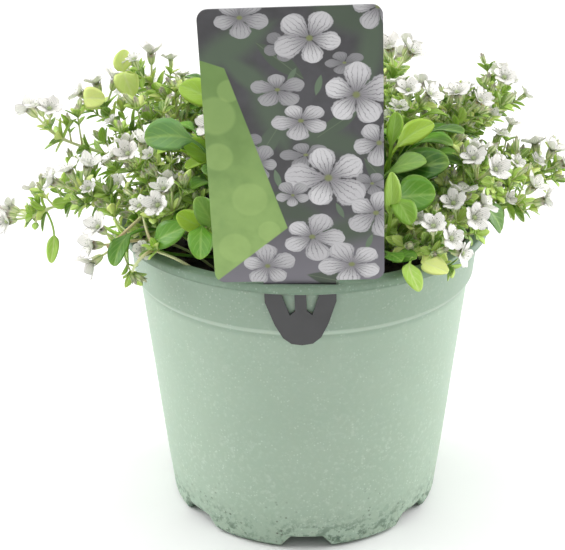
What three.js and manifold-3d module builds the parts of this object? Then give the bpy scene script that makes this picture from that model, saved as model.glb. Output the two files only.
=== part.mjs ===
// A potted alpine gypsophila (Gypsophila cerastioides): a loose, low mound of leafy flowering stems and
// spoon-shaped basal leaves in a green plastic nursery pot, with a picture label in a slot of the lip.
// Units are millimetres, +Z is up, and the origin is the centre of the pot's flat underside.
// The label and one of the pot's notches face -Y.

import * as THREE from "three";
import { mergeVertices } from "three/addons/utils/BufferGeometryUtils.js";
import Module from "manifold-3d";

// Pot: a tapering body, a shoulder, a wider collar and a narrow lip at the mouth.
const POT_HEIGHT = 100;
const LIP_RADIUS = 60;
const LIP_FOOT_Z = 97;
const COLLAR_TOP_RADIUS = 57;
const COLLAR_FOOT_RADIUS = 55.8;
const COLLAR_FOOT_Z = 83;
const BODY_TOP_RADIUS = 54.3;
const BODY_TOP_Z = 81.5;
const BODY_FOOT_RADIUS = 45.8;
const FOOT_CHAMFER = 1.5;
const POT_WALL = 1.3;
const POT_SIDES = 42;

// Drainage: notches round the foot, each under a raised pocket with one hole in its roof.
const NOTCHES = 7;
const NOTCH_FOOT_WIDTH = 16.6;
const NOTCH_ROOF_WIDTH = 10.4;
const NOTCH_HEIGHT = 4;
const NOTCH_INNER_RADIUS = 32;
const DRAIN_WIDTH = 5;
const DRAIN_RADIUS = 38;

// Label: one plastic sheet. A card stands on the lip, and its tongue hangs in the slot, outside the collar.
const SHEET = 0.6;
const CARD_WIDTH = 48.5;
const CARD_HEIGHT = 80.5;
const CARD_CORNER = 3;
const CARD_FOOT_Z = 101;
const TONGUE_HALF_WIDTH = 10.4;
const TONGUE_TIP_Z = 79.3;
const WINDOW_INNER_X = 1.7;
const WINDOW_OUTER_X = 5.5;
const WINDOW_TOP_Z = 96.4;
const WINDOW_FOOT_Z = 89.5;
const WINDOW_FOOT_WIDTH = 1.6;
const WINDOW_FOOT_SLOPE = 1.4;
const TONGUE_SHOULDER_DROP = 3;
const LABEL_TURN = THREE.MathUtils.degToRad(-2);
const LABEL_ROLL = THREE.MathUtils.degToRad(-1.7);
const LABEL_LEAN = Math.atan((COLLAR_TOP_RADIUS - COLLAR_FOOT_RADIUS) / (LIP_FOOT_Z - COLLAR_FOOT_Z));
const LABEL_GAP = 0.3;
const LABEL_SHIFT = -3;
const LABEL_MARGIN = 2;
const SLOT_HALF_WIDTH = 10.9;
const SLOT_HEIGHT = 8;
const SLOT_SINK = 0.5;

// Soil: one block with an uneven top, and a plain hole for each stem.
const SOIL_TOP = 91;
const SOIL_ROUGHNESS = 0.45;
const SOIL_SIDES = 21;
const SOIL_RINGS = [22, 44, 70];
const SOIL_RING_SIDES = 12;
const SOIL_GAP = 0.4;
const ROOT_DEPTH = 8;
const HOLE_GAP = 0.4;

// Leafy stems: [azimuth in degrees from +X, reach of the tip from the axis, height of the tip, flowers].
const STEMS = [
  [-177, 88, 101, 3],
  [176, 82, 127, 3],
  [-169, 71, 112, 3],
  [166, 67, 131, 3],
  [-161, 54, 121, 4],
  [-139, 52, 113, 4],
  [-149, 66, 103, 3],
  [157, 54, 138, 2],
  [-133, 36, 134, 3],
  [18, 31, 144, 4],
  [-16, 34, 136, 4],
  [0, 50, 131, 4],
  [13, 65, 134, 3],
  [-20, 58, 119, 4],
  [2, 77, 112, 3],
  [-10, 68, 106, 2],
  [-36, 57, 109, 4],
  [-51, 59, 106, 4],
  [36, 75, 117, 4],
  [58, 60, 132, 4],
  [78, 76, 112, 3],
  [100, 60, 131, 4],
  [122, 76, 114, 4],
  [142, 70, 124, 3],
  [85, 32, 145, 4],
  [-97, 20, 137, 4],
];
const ROOT_SHARE = 0.42;
const ROOT_NEAREST = 9;
const ROOT_FARTHEST = 41;
const ROOT_PLAY = 0.25;
const ROOT_TURN_PLAY = 9;
const TURN_PLAY = 1.5;
const TURN_STEPS = 8;
const KNEE_SHARE = 0.22;
const KNEE_LEAST = 18;
const KNEE_RISE = 0.62;
const ELBOW_SHARE = 0.86;
const ELBOW_DROP = 5;
const ELBOW_ABOVE_LIP = 6;
const OUTER_REACH = 62;
const OUTER_KNEE_LIFT = 6;
const OUTER_ELBOW_DROP = 9;
const TIP_UPTURN = 0.4;
const BEAD_SPACING = 2.2;
const LENGTH_STEPS = 60;
const STEM_FOOT_RADIUS = 1.05;
const STEM_TIP_RADIUS = 0.8;
const LOWER_BENDS = [0.15, 0.3];
const LEAF_NODES = [0.44, 0.61, 0.77, 0.92];
const STATIONS = [0, ...LOWER_BENDS, ...LEAF_NODES, 1];
const SHOOT_NODES = [1, 0];
const NODE_HALF_LENGTH = 0.65;
const LEAF_LENGTH = 7.8;
const LEAF_WIDTH = 3.3;
const LEAF_ANGLES = [52, 40, 64, 76].map((angle) => THREE.MathUtils.degToRad(angle));
const LEAF_ARCH = 0.12;
const LEAF_SECTIONS = [
  { share: 0.4, size: 1, thickness: 0.95 },
  { share: 0.74, size: 0.74, thickness: 0.85 },
];
const LEAF_BEADS = [
  { share: 0.3, part: 0.3, rooted: true },
  { share: 0.55, part: 0.42, rooted: false },
  { share: 0.78, part: 0.36, rooted: false },
  { share: 0.95, part: 0.2, rooted: false },
];
const SHOOT_LENGTH = 12;
const SHOOT_BEND = 0.45;
const SHOOT_NODE = 0.3;
const SHOOT_LEAF_SIZE = 0.9;
const SHOOT_BEADS = [
  { share: 0.3, radius: 1.2 },
  { share: 0.6, radius: 1.2 },
  { share: 0.9, radius: 1.4 },
  { share: 1.2, radius: 1.2 },
  { share: 1.45, radius: 0.7 },
];
const SHOOT_RADIUS = 0.7;
const BUD_RADIUS = 1.3;
const BUD_LENGTH = 3.4;

// Flowers: five petals in a shallow bowl, on a calyx at the end of a stalk.
const FLOWER_RADIUS = 5.2;
const FLOWER_RISE = 1.6;
const FLOWER_SPACING = { 2: 3.2, 3: 5.9, 4: 5 };
const MIDDLE_DROP = 0.9;
const PETALS = 5;
const PETAL_THICKNESS = 1.1;
const PETAL_SHOULDER = THREE.MathUtils.degToRad(21);
const PETAL_NOTCH = 0.36;
const STALK_LENGTH = 6;
const STALK_RADIUS = 0.55;
const CALYX_LENGTH = 3;
const CALYX_RADIUS = 1.3;
const SEAT_GAP = 0.35;
const END_FACE = 4;
const EVEN_TURN = Math.PI / (2 * PETALS);
const HEAD_FACES = { 2: [0, 2], 3: [0, 2, END_FACE], 4: [0, 1, 2, 3] };

// Basal leaves in tufts: [x and y of the crown, azimuth of its first leaf in degrees].
const TUFTS = [
  [-22, -22, -140],
  [24, -17, -35],
  [20, 21, 45],
  [-18, 22, 130],
  [-2, -4, -90],
];
const EARLY_TUFTS = 2;
const CROWN_RADIUS = 2.4;
const CROWN_TOP_RADIUS = 1.4;
const CROWN_SIDES = 6;
const CROWN_HEIGHT = 2;
const CROWN_FACE = 0.8;
const BLADE_WIDTH = 11;
const BLADE_THICKNESS = 1;
const PETIOLE_WIDTH = 1.5;
const BLADE_START = 0.58;
const BLADE_SECTIONS = [0.2, 0.44, 0.6, 0.72, 0.86, 0.95];
const BLADE_BEADS = [0.61, 0.69, 0.77, 0.85, 0.93, 0.99];
const PETIOLE_BEADS = [0.05, 0.12, 0.19, 0.26, 0.33, 0.4, 0.47, 0.54];

// Clearance between the pieces of the mound, which are stood for by strings of beads while they are placed.
const CLEARANCE = 0.4;
const TRIES = 24;
const SHOOT_TRIES = 10;

const paint = (color, roughness) => new THREE.MeshStandardMaterial({ color, roughness, metalness: 0 });

const wasm = await Module();
wasm.setup();

/** Turns a closed three.js geometry into a solid. */
function solid(geometry) {
  const bare = new THREE.BufferGeometry();
  bare.setAttribute("position", geometry.getAttribute("position"));
  bare.setIndex(geometry.getIndex());
  const merged = mergeVertices(bare, 1e-4);
  return new wasm.Manifold(
    new wasm.Mesh({
      numProp: 3,
      vertProperties: new Float32Array(merged.getAttribute("position").array),
      triVerts: new Uint32Array(merged.getIndex().array),
    }),
  );
}

/** Turns a solid back into a three.js geometry with flat faces. */
function geometryOf(made) {
  const mesh = made.getMesh();
  const geometry = new THREE.BufferGeometry();
  geometry.setAttribute("position", new THREE.BufferAttribute(new Float32Array(mesh.vertProperties), 3));
  geometry.setIndex(new THREE.BufferAttribute(new Uint32Array(mesh.triVerts), 1));
  const faceted = geometry.toNonIndexed();
  faceted.computeVertexNormals();
  return faceted;
}

/** A repeatable stream of draws between 0 and 1. */
function drawsFrom(seed) {
  let state = (seed * 2654435761) % 4294967296;
  return () => {
    state = (state * 1664525 + 1013904223) % 4294967296;
    return state / 4294967296;
  };
}

const spread = (draw, span) => (2 * draw() - 1) * span;
const radians = THREE.MathUtils.degToRad;
const at = (x, y, z) => new THREE.Vector3(x, y, z);
const along = (point, direction, distance) => point.clone().addScaledVector(direction, distance);
const mix = (a, b, share) => a.clone().multiplyScalar(1 - share).addScaledVector(b, share);
const polar = (radius, azimuth, z) => at(radius * Math.cos(azimuth), radius * Math.sin(azimuth), z);

/** The unit direction at an angle from the first of two directions at right angles, towards the second. */
const swing = (first, second, angle) =>
  first.clone().multiplyScalar(Math.cos(angle)).addScaledVector(second, Math.sin(angle));

/** Two unit directions at right angles to a given one: a level one, and one that completes the frame. */
function frameOf(direction) {
  const across = at(-direction.y, direction.x, 0);
  if (across.length() < 1e-6) across.set(1, 0, 0);
  across.normalize();
  return [across, direction.clone().cross(across)];
}

/** A unit direction at right angles to the given one, turned round it by an angle. */
function sideways(direction, angle) {
  const [across, up] = frameOf(direction);
  return swing(across, up, angle);
}

/** The point of a cubic Bezier curve at t, and its unit direction there. */
function bezier([a, b, c, d], t) {
  const s = 1 - t;
  const point = at(0, 0, 0)
    .addScaledVector(a, s * s * s)
    .addScaledVector(b, 3 * s * s * t)
    .addScaledVector(c, 3 * s * t * t)
    .addScaledVector(d, t * t * t);
  const direction = at(0, 0, 0)
    .addScaledVector(a, -s * s)
    .addScaledVector(b, s * s - 2 * s * t)
    .addScaledVector(c, 2 * s * t - t * t)
    .addScaledVector(d, t * t)
    .normalize();
  return { point, direction };
}

/** A closed solid through rings of points. A ring may be a single point, and flat ends are capped. */
function loft(rings) {
  const points = [];
  const starts = rings.map((ring) => points.push(...ring) - ring.length);
  const faces = [];
  for (let k = 0; k + 1 < rings.length; k++) {
    const [low, high] = [rings[k].length > 1, rings[k + 1].length > 1];
    const sides = Math.max(rings[k].length, rings[k + 1].length);
    for (let i = 0; i < sides; i++) {
      const j = (i + 1) % sides;
      const [a, b] = [starts[k], starts[k + 1]];
      if (high) faces.push(low ? a + i : a, b + j, b + i);
      if (low) faces.push(a + i, a + j, high ? b + j : b);
    }
  }
  for (let i = 1; i + 1 < rings[0].length; i++) faces.push(0, i + 1, i);
  const last = starts.at(-1);
  for (let i = 1; i + 1 < rings.at(-1).length; i++) faces.push(last, last + i, last + i + 1);
  const geometry = new THREE.BufferGeometry();
  const flat = points.flatMap((point) => point.toArray());
  geometry.setAttribute("position", new THREE.Float32BufferAttribute(flat, 3));
  geometry.setIndex(faces);
  return solid(geometry);
}

/** A ring of points round a centre, in the plane of two unit directions. */
function ringAt(centre, across, up, radius, sides) {
  return Array.from({ length: sides }, (_, i) => {
    const angle = (i * 2 * Math.PI) / sides;
    return along(along(centre, across, radius * Math.cos(angle)), up, radius * Math.sin(angle));
  });
}

/** A level ring of points round the upright through a point. */
const levelRing = ({ x, y }, z, radius, sides) =>
  ringAt(at(x, y, z), at(1, 0, 0), at(0, 1, 0), radius, sides);

/** The three points of a leaf's section: its two edges, and the keel of the midrib under them. */
function section(point, side, normal, width, thickness) {
  const edges = along(point, normal, thickness / 3);
  return [along(edges, side, width / 2), along(edges, side, -width / 2), along(edges, normal, -thickness)];
}

// Layout of the mound: where every stem, leaf and flower goes, before any solid is made.

/** The middle of the label's sheet at a height, on the line of the slot. */
const labelY = (z) => -(COLLAR_TOP_RADIUS + LABEL_GAP + SHEET / 2) - (z - LIP_FOOT_Z) * Math.tan(LABEL_LEAN);

/** Whether a bead is clear of the soil, the pot's wall and lip, the label and the space in front of it. */
function clearsPot({ point, radius }) {
  const reach = Math.hypot(point.x, point.y);
  if (reach < LIP_RADIUS && point.z - radius < SOIL_TOP + SOIL_ROUGHNESS) return false;
  const besideLip = reach + radius > COLLAR_FOOT_RADIUS - POT_WALL && reach - radius < LIP_RADIUS + CLEARANCE;
  if (besideLip && point.z - radius < POT_HEIGHT + CLEARANCE) return false;
  const acrossLabel = Math.abs(point.x - LABEL_SHIFT) < CARD_WIDTH / 2 + radius + LABEL_MARGIN;
  return !(acrossLabel && point.y - radius < labelY(point.z) + SHEET);
}

/** The beads of everything placed so far, with the name of the piece that owns them. */
class Crowd {
  beads = [];

  /** Keeps the first of several tried pieces that is clear of the pot and of all that stands already. */
  place(owner, tries, make) {
    for (let k = 0; k < tries; k++) {
      const made = make(k);
      if (made.beads.every((bead) => clearsPot(bead) && this.clears(owner, bead))) {
        this.beads.push(...made.beads.map((bead) => ({ owner, ...bead })));
        return made;
      }
    }
    return null;
  }

  /** A rooted bead lies where its piece grows out of its owner, so it is only tested against other owners. */
  clears(owner, { point, radius, rooted }) {
    return this.beads.every((other) => {
      const ownFoot = rooted && other.owner === owner;
      return ownFoot || point.distanceTo(other.point) > radius + other.radius + CLEARANCE;
    });
  }
}

/** The parameter of a curve at which a share of its length is reached. */
function paramAt(curve, share) {
  const reached = [0];
  for (let i = 1; i <= LENGTH_STEPS; i++) {
    const [from, to] = [i - 1, i].map((step) => bezier(curve, step / LENGTH_STEPS).point);
    reached.push(reached[i - 1] + from.distanceTo(to));
  }
  const goal = share * reached[LENGTH_STEPS];
  const i = Math.max(1, reached.findIndex((length) => length >= goal));
  return (i - 1 + (goal - reached[i - 1]) / (reached[i] - reached[i - 1])) / LENGTH_STEPS;
}

/** A string of beads from one point to another. */
function beadString(from, to, radius) {
  const count = Math.ceil(from.distanceTo(to) / BEAD_SPACING);
  return Array.from({ length: count + 1 }, (_, i) => ({ point: mix(from, to, i / count), radius }));
}

/** The curve of one leafy stem: out of the soil, over the lip, and rising again at its tip. */
function layStemCurve(draw, [turn, reach, height], k) {
  const azimuth = radians(turn + spread(draw, TURN_PLAY * Math.min(k, TURN_STEPS)));
  const rootAzimuth = azimuth + radians(spread(draw, ROOT_TURN_PLAY + k));
  const rootReach = Math.min(ROOT_FARTHEST, ROOT_NEAREST + ROOT_SHARE * reach) * (1 - ROOT_PLAY * draw());
  const root = polar(rootReach, rootAzimuth, SOIL_TOP + 2);
  const tip = polar(reach, azimuth, height);
  const [lift, drop] = reach > OUTER_REACH ? [OUTER_KNEE_LIFT, OUTER_ELBOW_DROP] : [0, ELBOW_DROP];
  const kneeHeight = SOIL_TOP + Math.max(KNEE_LEAST, KNEE_RISE * (height - SOIL_TOP)) + lift;
  const elbowHeight = Math.max(height - drop, POT_HEIGHT + ELBOW_ABOVE_LIP);
  const knee = mix(root, tip, KNEE_SHARE).setZ(kneeHeight);
  const elbow = mix(root, tip, ELBOW_SHARE).setZ(elbowHeight);
  const curve = [root, knee, elbow, tip];
  const corners = STATIONS.map((share) => bezier(curve, paramAt(curve, share)).point);
  const beads = corners.slice(1).flatMap((corner, i) => beadString(corners[i], corner, STEM_FOOT_RADIUS));
  return { curve, root, beads };
}

/** Stations along a stem, each with a direction across it that is carried on without twist. */
function stationsOf(curve, phase) {
  let across = sideways(bezier(curve, 0).direction, phase);
  return STATIONS.map((share) => {
    const { point, direction } = bezier(curve, paramAt(curve, share));
    across = along(across, direction, -across.dot(direction)).normalize();
    return { point, direction, across };
  });
}

/** The outward direction of one of the four faces of a stem at a station. */
const faceOut = ({ direction, across }, face) =>
  [across, direction.clone().cross(across)][face % 2].clone().multiplyScalar(face < 2 ? 1 : -1);

/** A small leaf: where it starts, the way it points, its side and its upper face, and its size. */
function layLeaf(station, face, angle, size) {
  const { point, direction } = station;
  const out = faceOut(station, face);
  const blade = swing(direction, out, angle);
  const side = direction.clone().cross(out);
  const leaf = { face, point, blade, side, normal: blade.clone().cross(side) };
  leaf.length = size * LEAF_LENGTH;
  leaf.width = size * LEAF_WIDTH;
  leaf.beads = LEAF_BEADS.map(({ share, part, rooted }) => ({
    point: leafPoint(leaf, share),
    radius: part * leaf.width,
    rooted,
  }));
  return leaf;
}

/** A point on the midrib of a small leaf, which arches back towards its tip. */
function leafPoint({ point, blade, normal, length }, share) {
  return along(along(point, blade, share * length), normal, -LEAF_ARCH * share * share * length);
}

/** The two opposite leaves of a node, each at the first angle at which it is clear, or left out. */
function placePair(crowd, owner, station, firstFace, size) {
  const tryLeaf = (face) => (k) => layLeaf(station, face, LEAF_ANGLES[k], size * (k > 1 ? 0.85 : 1));
  return [firstFace, firstFace + 2]
    .map((face) => crowd.place(owner, LEAF_ANGLES.length, tryLeaf(face)))
    .filter(Boolean);
}

/** A flower: the middle of its bowl, the way it faces, the way its first petal points, and its radius. */
function layFlower(tip, facing, inward, length, radius, face) {
  const base = along(tip, facing, length);
  const first = along(inward, facing, -inward.dot(facing)).normalize();
  const second = facing.clone().cross(first);
  const beads = [{ point: along(base, facing, 1), radius: 1.6 }];
  for (let k = 0; k < PETALS; k++) {
    const angle = (k * 2 * Math.PI) / PETALS;
    const rim = along(base, facing, 0.7 * FLOWER_RISE);
    beads.push({ point: along(rim, swing(first, second, angle), 0.68 * radius), radius: 1.7 });
  }
  beads.push({ point: along(base, facing, -1.5), radius: 1.2 });
  beads.push({ point: along(base, facing, -4.5), radius: 0.8, rooted: true });
  return { face, base, facing, first, second, radius, beads };
}

/** The head of a stem: side stalks on the faces of its last node, round a stalk that carries straight on. */
function layHead(draw, station, count) {
  const { point, direction } = station;
  const length = STALK_LENGTH + CALYX_LENGTH + SEAT_GAP;
  const flowers = [];
  const tilt = Math.asin(FLOWER_SPACING[count] / length);
  for (const face of HEAD_FACES[count]) {
    const radius = FLOWER_RADIUS * (1 + spread(draw, 0.06));
    if (face === END_FACE) {
      const toward = swing(faceOut(station, 0), faceOut(station, 1), EVEN_TURN);
      flowers.push(layFlower(point, direction, toward, length - MIDDLE_DROP, radius, face));
      continue;
    }
    const out = faceOut(station, face);
    const facing = swing(direction, out, tilt);
    flowers.push(layFlower(point, facing, out.negate(), length * (1 + spread(draw, 0.05)), radius, face));
  }
  return { flowers, beads: flowers.flatMap((flower) => flower.beads) };
}

/** A side shoot: a short bent twig from a face of a node, with one pair of leaves and a bud at its end. */
function layShoot(draw, station, face) {
  const { point, direction } = station;
  const out = faceOut(station, face);
  const lean = mix(direction, out, 0.55).add(at(0, 0, 0.15)).normalize();
  const length = SHOOT_LENGTH * (0.8 + 0.4 * draw());
  const bend = along(point, lean, SHOOT_BEND * length);
  const up = mix(lean, direction, 0.5).add(at(0, 0, 0.3)).normalize();
  const end = along(bend, up, (1 - SHOOT_BEND) * length);
  const across = sideways(up, 2 * Math.PI * draw());
  const node = { point: along(bend, up, SHOOT_NODE * length), direction: up, across };
  const beads = SHOOT_BEADS.map(({ share, radius }) => ({ point: mix(bend, end, share), radius }));
  const twig = [mix(point, bend, 0.55), bend];
  beads.push(...twig.map((spot) => ({ point: spot, radius: SHOOT_RADIUS + 0.2, rooted: true })));
  return { face, bend, end, node, leaves: [], beads };
}

/** The width of a basal leaf at t along it: a narrow stalk, then an oval blade that ends in a round tip. */
function bladeWidth(t, width) {
  if (t < BLADE_START) return PETIOLE_WIDTH;
  const u = (t - BLADE_START) / (1 - BLADE_START);
  const oval = Math.sqrt(Math.sin(Math.PI * Math.pow(u, 0.8)));
  return PETIOLE_WIDTH * (1 - u) + (width - PETIOLE_WIDTH / 2) * oval;
}

/** A spoon-shaped basal leaf, from one face of the crown of its tuft. */
function layBasalLeaf(draw, crown, facing, face) {
  const azimuth = facing + (face * 2 * Math.PI) / CROWN_SIDES;
  const outward = polar(1, azimuth, 0);
  const aim = polar(1, azimuth + spread(draw, 0.35), 0);
  const rise = 20 + 26 * draw();
  const reach = 9 + 15 * draw();
  const width = BLADE_WIDTH * (0.85 + 0.3 * draw());
  const lift = at(0, 0, rise);
  const curve = [
    along(crown, outward, CROWN_RADIUS - 0.6),
    along(crown, outward, 0.2 * reach).addScaledVector(lift, 0.5),
    along(crown, aim, 0.4 * reach).addScaledVector(lift, 1.06),
    along(crown, aim, reach + 6).addScaledVector(lift, 0.8 + 0.2 * draw()),
  ];
  const side = at(-aim.y, aim.x, 0);
  const beads = PETIOLE_BEADS.map((t) => ({ point: bezier(curve, t).point, radius: 1.1, rooted: t < 0.3 }));
  for (const t of BLADE_BEADS) {
    const { point } = bezier(curve, t);
    const half = bladeWidth(t, width) / 2;
    for (const share of [-0.8, -0.4, 0, 0.4, 0.8]) {
      beads.push({ point: along(point, side, share * half), radius: 0.22 * half + 0.6 });
    }
  }
  return { face, curve, side, width, beads };
}

/** One tuft of basal leaves, a leaf on each face of its crown that has room for one. */
function layTuft(crowd, [x, y, facing], n) {
  const draw = drawsFrom(n + 101);
  const { crown } = crowd.place(`tuft ${n}`, TRIES, (k) => {
    const spot = at(x + spread(draw, 0.4 * k), y + spread(draw, 0.4 * k), SOIL_TOP + CROWN_HEIGHT);
    return { crown: spot, beads: [{ point: along(spot, at(0, 0, 1), 1.4), radius: CROWN_RADIUS }] };
  });
  const leaves = [];
  for (let face = 0; face < CROWN_SIDES; face++) {
    const leaf = crowd.place(`tuft ${n}`, TRIES, () => layBasalLeaf(draw, crown, radians(facing), face));
    if (leaf) leaves.push(leaf);
  }
  return { crown, facing: radians(facing), leaves };
}

/** One leafy stem with its head. Its leaves follow when all the stems stand. */
function layStem(crowd, row, n) {
  const draw = drawsFrom(n + 1);
  const line = crowd.place(`stem ${n}`, TRIES, (k) => layStemCurve(draw, row, k));
  if (!line) throw new Error(`stem ${n + 1} finds no clear way`);
  const stations = stationsOf(line.curve, 2 * Math.PI * draw());
  const last = stations.at(-1);
  last.direction = mix(last.direction, at(0, 0, 1), TIP_UPTURN).normalize();
  const head = crowd.place(`head ${n}`, TRIES, (k) => {
    last.across = sideways(last.direction, 2 * Math.PI * draw());
    return layHead(draw, last, Math.max(2, row[3] - Math.floor(k / 8)));
  });
  if (!head) throw new Error(`head ${n + 1} finds no room`);
  return { ...line, draw, stations, flowers: head.flowers };
}

/** The side shoots of one stem with their leaves, on the faces of its nodes that bear no leaves. */
function layShoots(crowd, stem, n) {
  const { draw, stations } = stem;
  stem.nodes = stations.slice(LOWER_BENDS.length + 1, -1).map((station) => ({ station, leaves: [], shoot: null }));
  for (const k of SHOOT_NODES) {
    const node = stem.nodes[k];
    const face = (k + 1) % 2;
    const tryShoot = (i) => layShoot(draw, node.station, face + 2 * (i % 2));
    node.shoot = crowd.place(`stem ${n}`, SHOOT_TRIES, tryShoot);
    if (node.shoot) node.shoot.leaves = placePair(crowd, `stem ${n}`, node.shoot.node, 0, SHOOT_LEAF_SIZE);
  }
}

/** The pairs of leaves of one stem, from its tip down. */
function layLeaves(crowd, stem, n) {
  for (let k = stem.nodes.length - 1; k >= 0; k--) {
    const node = stem.nodes[k];
    node.leaves = placePair(crowd, `stem ${n}`, node.station, k % 2, 0.9 + 0.25 * stem.draw());
  }
}

/** Lays out the whole mound. */
function layMound() {
  const crowd = new Crowd();
  const outerTufts = TUFTS.slice(0, EARLY_TUFTS).map((row, n) => layTuft(crowd, row, n));
  const stems = STEMS.map((row, n) => layStem(crowd, row, n));
  const innerTufts = TUFTS.slice(EARLY_TUFTS).map((row, n) => layTuft(crowd, row, n + EARLY_TUFTS));
  const tufts = [...outerTufts, ...innerTufts];
  stems.forEach((stem, n) => layShoots(crowd, stem, n));
  stems.forEach((stem, n) => layLeaves(crowd, stem, n));
  return { tufts, stems };
}

// Solids of the mound.

/** A closed skin that grows ring by ring. A face can stay open as the foot of a leaf, stalk or shoot. */
class Skin {
  points = [];
  faces = [];

  /** Adds a ring of points and gives their numbers. */
  ring(points) {
    const start = this.points.length;
    this.points.push(...points);
    return points.map((_, i) => start + i);
  }

  /** The middle of a ring. */
  middle(ring) {
    return ring.reduce((sum, number) => sum.addScaledVector(this.points[number], 1 / ring.length), at(0, 0, 0));
  }

  /** Joins two rings with faces, turned to where they match best. The upper ring may be a single point. */
  zip(low, high) {
    const [n, m] = [low.length, high.length];
    const rungs = [[0, 0]];
    while (rungs.length < n + (m > 1 ? m : 0)) {
      const [i, j] = rungs.at(-1);
      const onward = m === 1 || (i < n && (j >= m || (i + 1) / n <= (j + 1) / m));
      rungs.push(onward ? [i + 1, j] : [i, j + 1]);
    }
    const ends = ([i, j], shift) => [low[i % n], high[(j + shift) % m]];
    const step = this.middle(high).sub(this.middle(low));
    const slant = ([a, b]) => this.points[a].clone().add(step).distanceToSquared(this.points[b]);
    const slants = high.map((_, shift) => rungs.reduce((sum, rung) => sum + slant(ends(rung, shift)), 0));
    const shift = slants.indexOf(Math.min(...slants));
    rungs.forEach((rung, k) => {
      const [a, b] = ends(rung, shift);
      const [c, d] = ends(rungs[(k + 1) % rungs.length], shift);
      this.faces.push(...(a === c ? [a, d, b] : [a, c, b]));
    });
  }

  /** Joins two rings of four points face by face, and gives back the faces that stay open as feet. */
  band(low, high, open) {
    return low.map((_, i) => {
      const j = (i + 1) % low.length;
      if (open.includes(i)) return [low[i], low[j], high[j], high[i]];
      this.faces.push(low[i], high[j], high[i], low[i], low[j], high[j]);
      return null;
    });
  }

  /** Closes a ring with a flat cap. */
  cap(ring) {
    for (let i = 1; i + 1 < ring.length; i++) this.faces.push(ring[0], ring[i], ring[i + 1]);
  }

  /** Carries on from a foot through rings of points to a cap or a point. */
  grow(foot, rings) {
    let last = foot;
    for (const points of rings) {
      const next = this.ring(points);
      this.zip(last, next);
      last = next;
    }
    if (last.length > 1) this.cap(last);
  }

  solid() {
    const geometry = new THREE.BufferGeometry();
    const flat = this.points.flatMap((point) => point.toArray());
    geometry.setAttribute("position", new THREE.Float32BufferAttribute(flat, 3));
    geometry.setIndex(this.faces);
    return solid(geometry);
  }
}

/** The four corners of a stem at a station, so that each face looks along one of the station's directions. */
function cornersAt(point, { direction, across }, radius) {
  const up = direction.clone().cross(across);
  const [u, v] = [across.clone().sub(up), across.clone().add(up)].map((way) => way.normalize());
  return ringAt(point, u, v, radius, 4);
}

/** Two rings of a stem round one of its nodes, with feet on the open faces. */
function nodeOf(skin, below, station, radius, open) {
  const [low, high] = [-1, 1].map((sign) =>
    skin.ring(cornersAt(along(station.point, station.direction, sign * NODE_HALF_LENGTH), station, radius)),
  );
  skin.zip(below, low);
  return { high, feet: skin.band(low, high, open) };
}

/** The rings of one small leaf. */
function leafRings(leaf) {
  const { side, normal, width } = leaf;
  const rings = LEAF_SECTIONS.map(({ share, size, thickness }) =>
    section(leafPoint(leaf, share), side, normal, size * width, thickness),
  );
  return [...rings, [leafPoint(leaf, 1)]];
}

/** The rings of one stalk with its calyx, up to just under the flower. */
function stalkRings({ base, facing }) {
  const [across, up] = frameOf(facing);
  const ring = (drop, radius) => ringAt(along(base, facing, -drop), across, up, radius, 3);
  return [ring(SEAT_GAP + CALYX_LENGTH, STALK_RADIUS), ring(SEAT_GAP, CALYX_RADIUS)];
}

/** One leafy stem: the stem with its root, leaves, side shoots, stalks and calyxes, as one skin. */
function stemSolid({ root, stations, nodes, flowers }) {
  const skin = new Skin();
  const radiusAt = (k) => STEM_FOOT_RADIUS + ((STEM_TIP_RADIUS - STEM_FOOT_RADIUS) * k) / nodes.length;
  const foot = root.clone().setZ(SOIL_TOP - ROOT_DEPTH);
  let last = skin.ring(cornersAt(foot, { ...stations[0], direction: at(0, 0, 1) }, STEM_FOOT_RADIUS));
  skin.cap(last.toReversed());
  for (const station of stations.slice(0, LOWER_BENDS.length + 1)) {
    const next = skin.ring(cornersAt(station.point, station, STEM_FOOT_RADIUS));
    skin.zip(last, next);
    last = next;
  }
  nodes.forEach(({ station, leaves, shoot }, k) => {
    const sprouts = shoot ? [...leaves, shoot] : leaves;
    const node = nodeOf(skin, last, station, radiusAt(k), sprouts.map(({ face }) => face));
    for (const leaf of leaves) skin.grow(node.feet[leaf.face], leafRings(leaf));
    if (shoot) growShoot(skin, node.feet[shoot.face], shoot);
    last = node.high;
  });
  const tip = nodeOf(skin, last, stations.at(-1), STEM_TIP_RADIUS, flowers.map(({ face }) => face));
  for (const flower of flowers) {
    skin.grow(flower.face === END_FACE ? tip.high : tip.feet[flower.face], stalkRings(flower));
  }
  if (flowers.every(({ face }) => face !== END_FACE)) skin.cap(tip.high);
  return skin.solid();
}

/** Grows a side shoot from its foot: a bend, a node with leaves, and a pointed bud. */
function growShoot(skin, foot, { bend, end, node, leaves }) {
  const ring = skin.ring(cornersAt(bend, node, SHOOT_RADIUS));
  skin.zip(foot, ring);
  const { high, feet } = nodeOf(skin, ring, node, SHOOT_RADIUS, leaves.map(({ face }) => face));
  for (const leaf of leaves) skin.grow(feet[leaf.face], leafRings(leaf));
  skin.grow(high, [cornersAt(end, node, BUD_RADIUS), [along(end, node.direction, BUD_LENGTH)]]);
}

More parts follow.
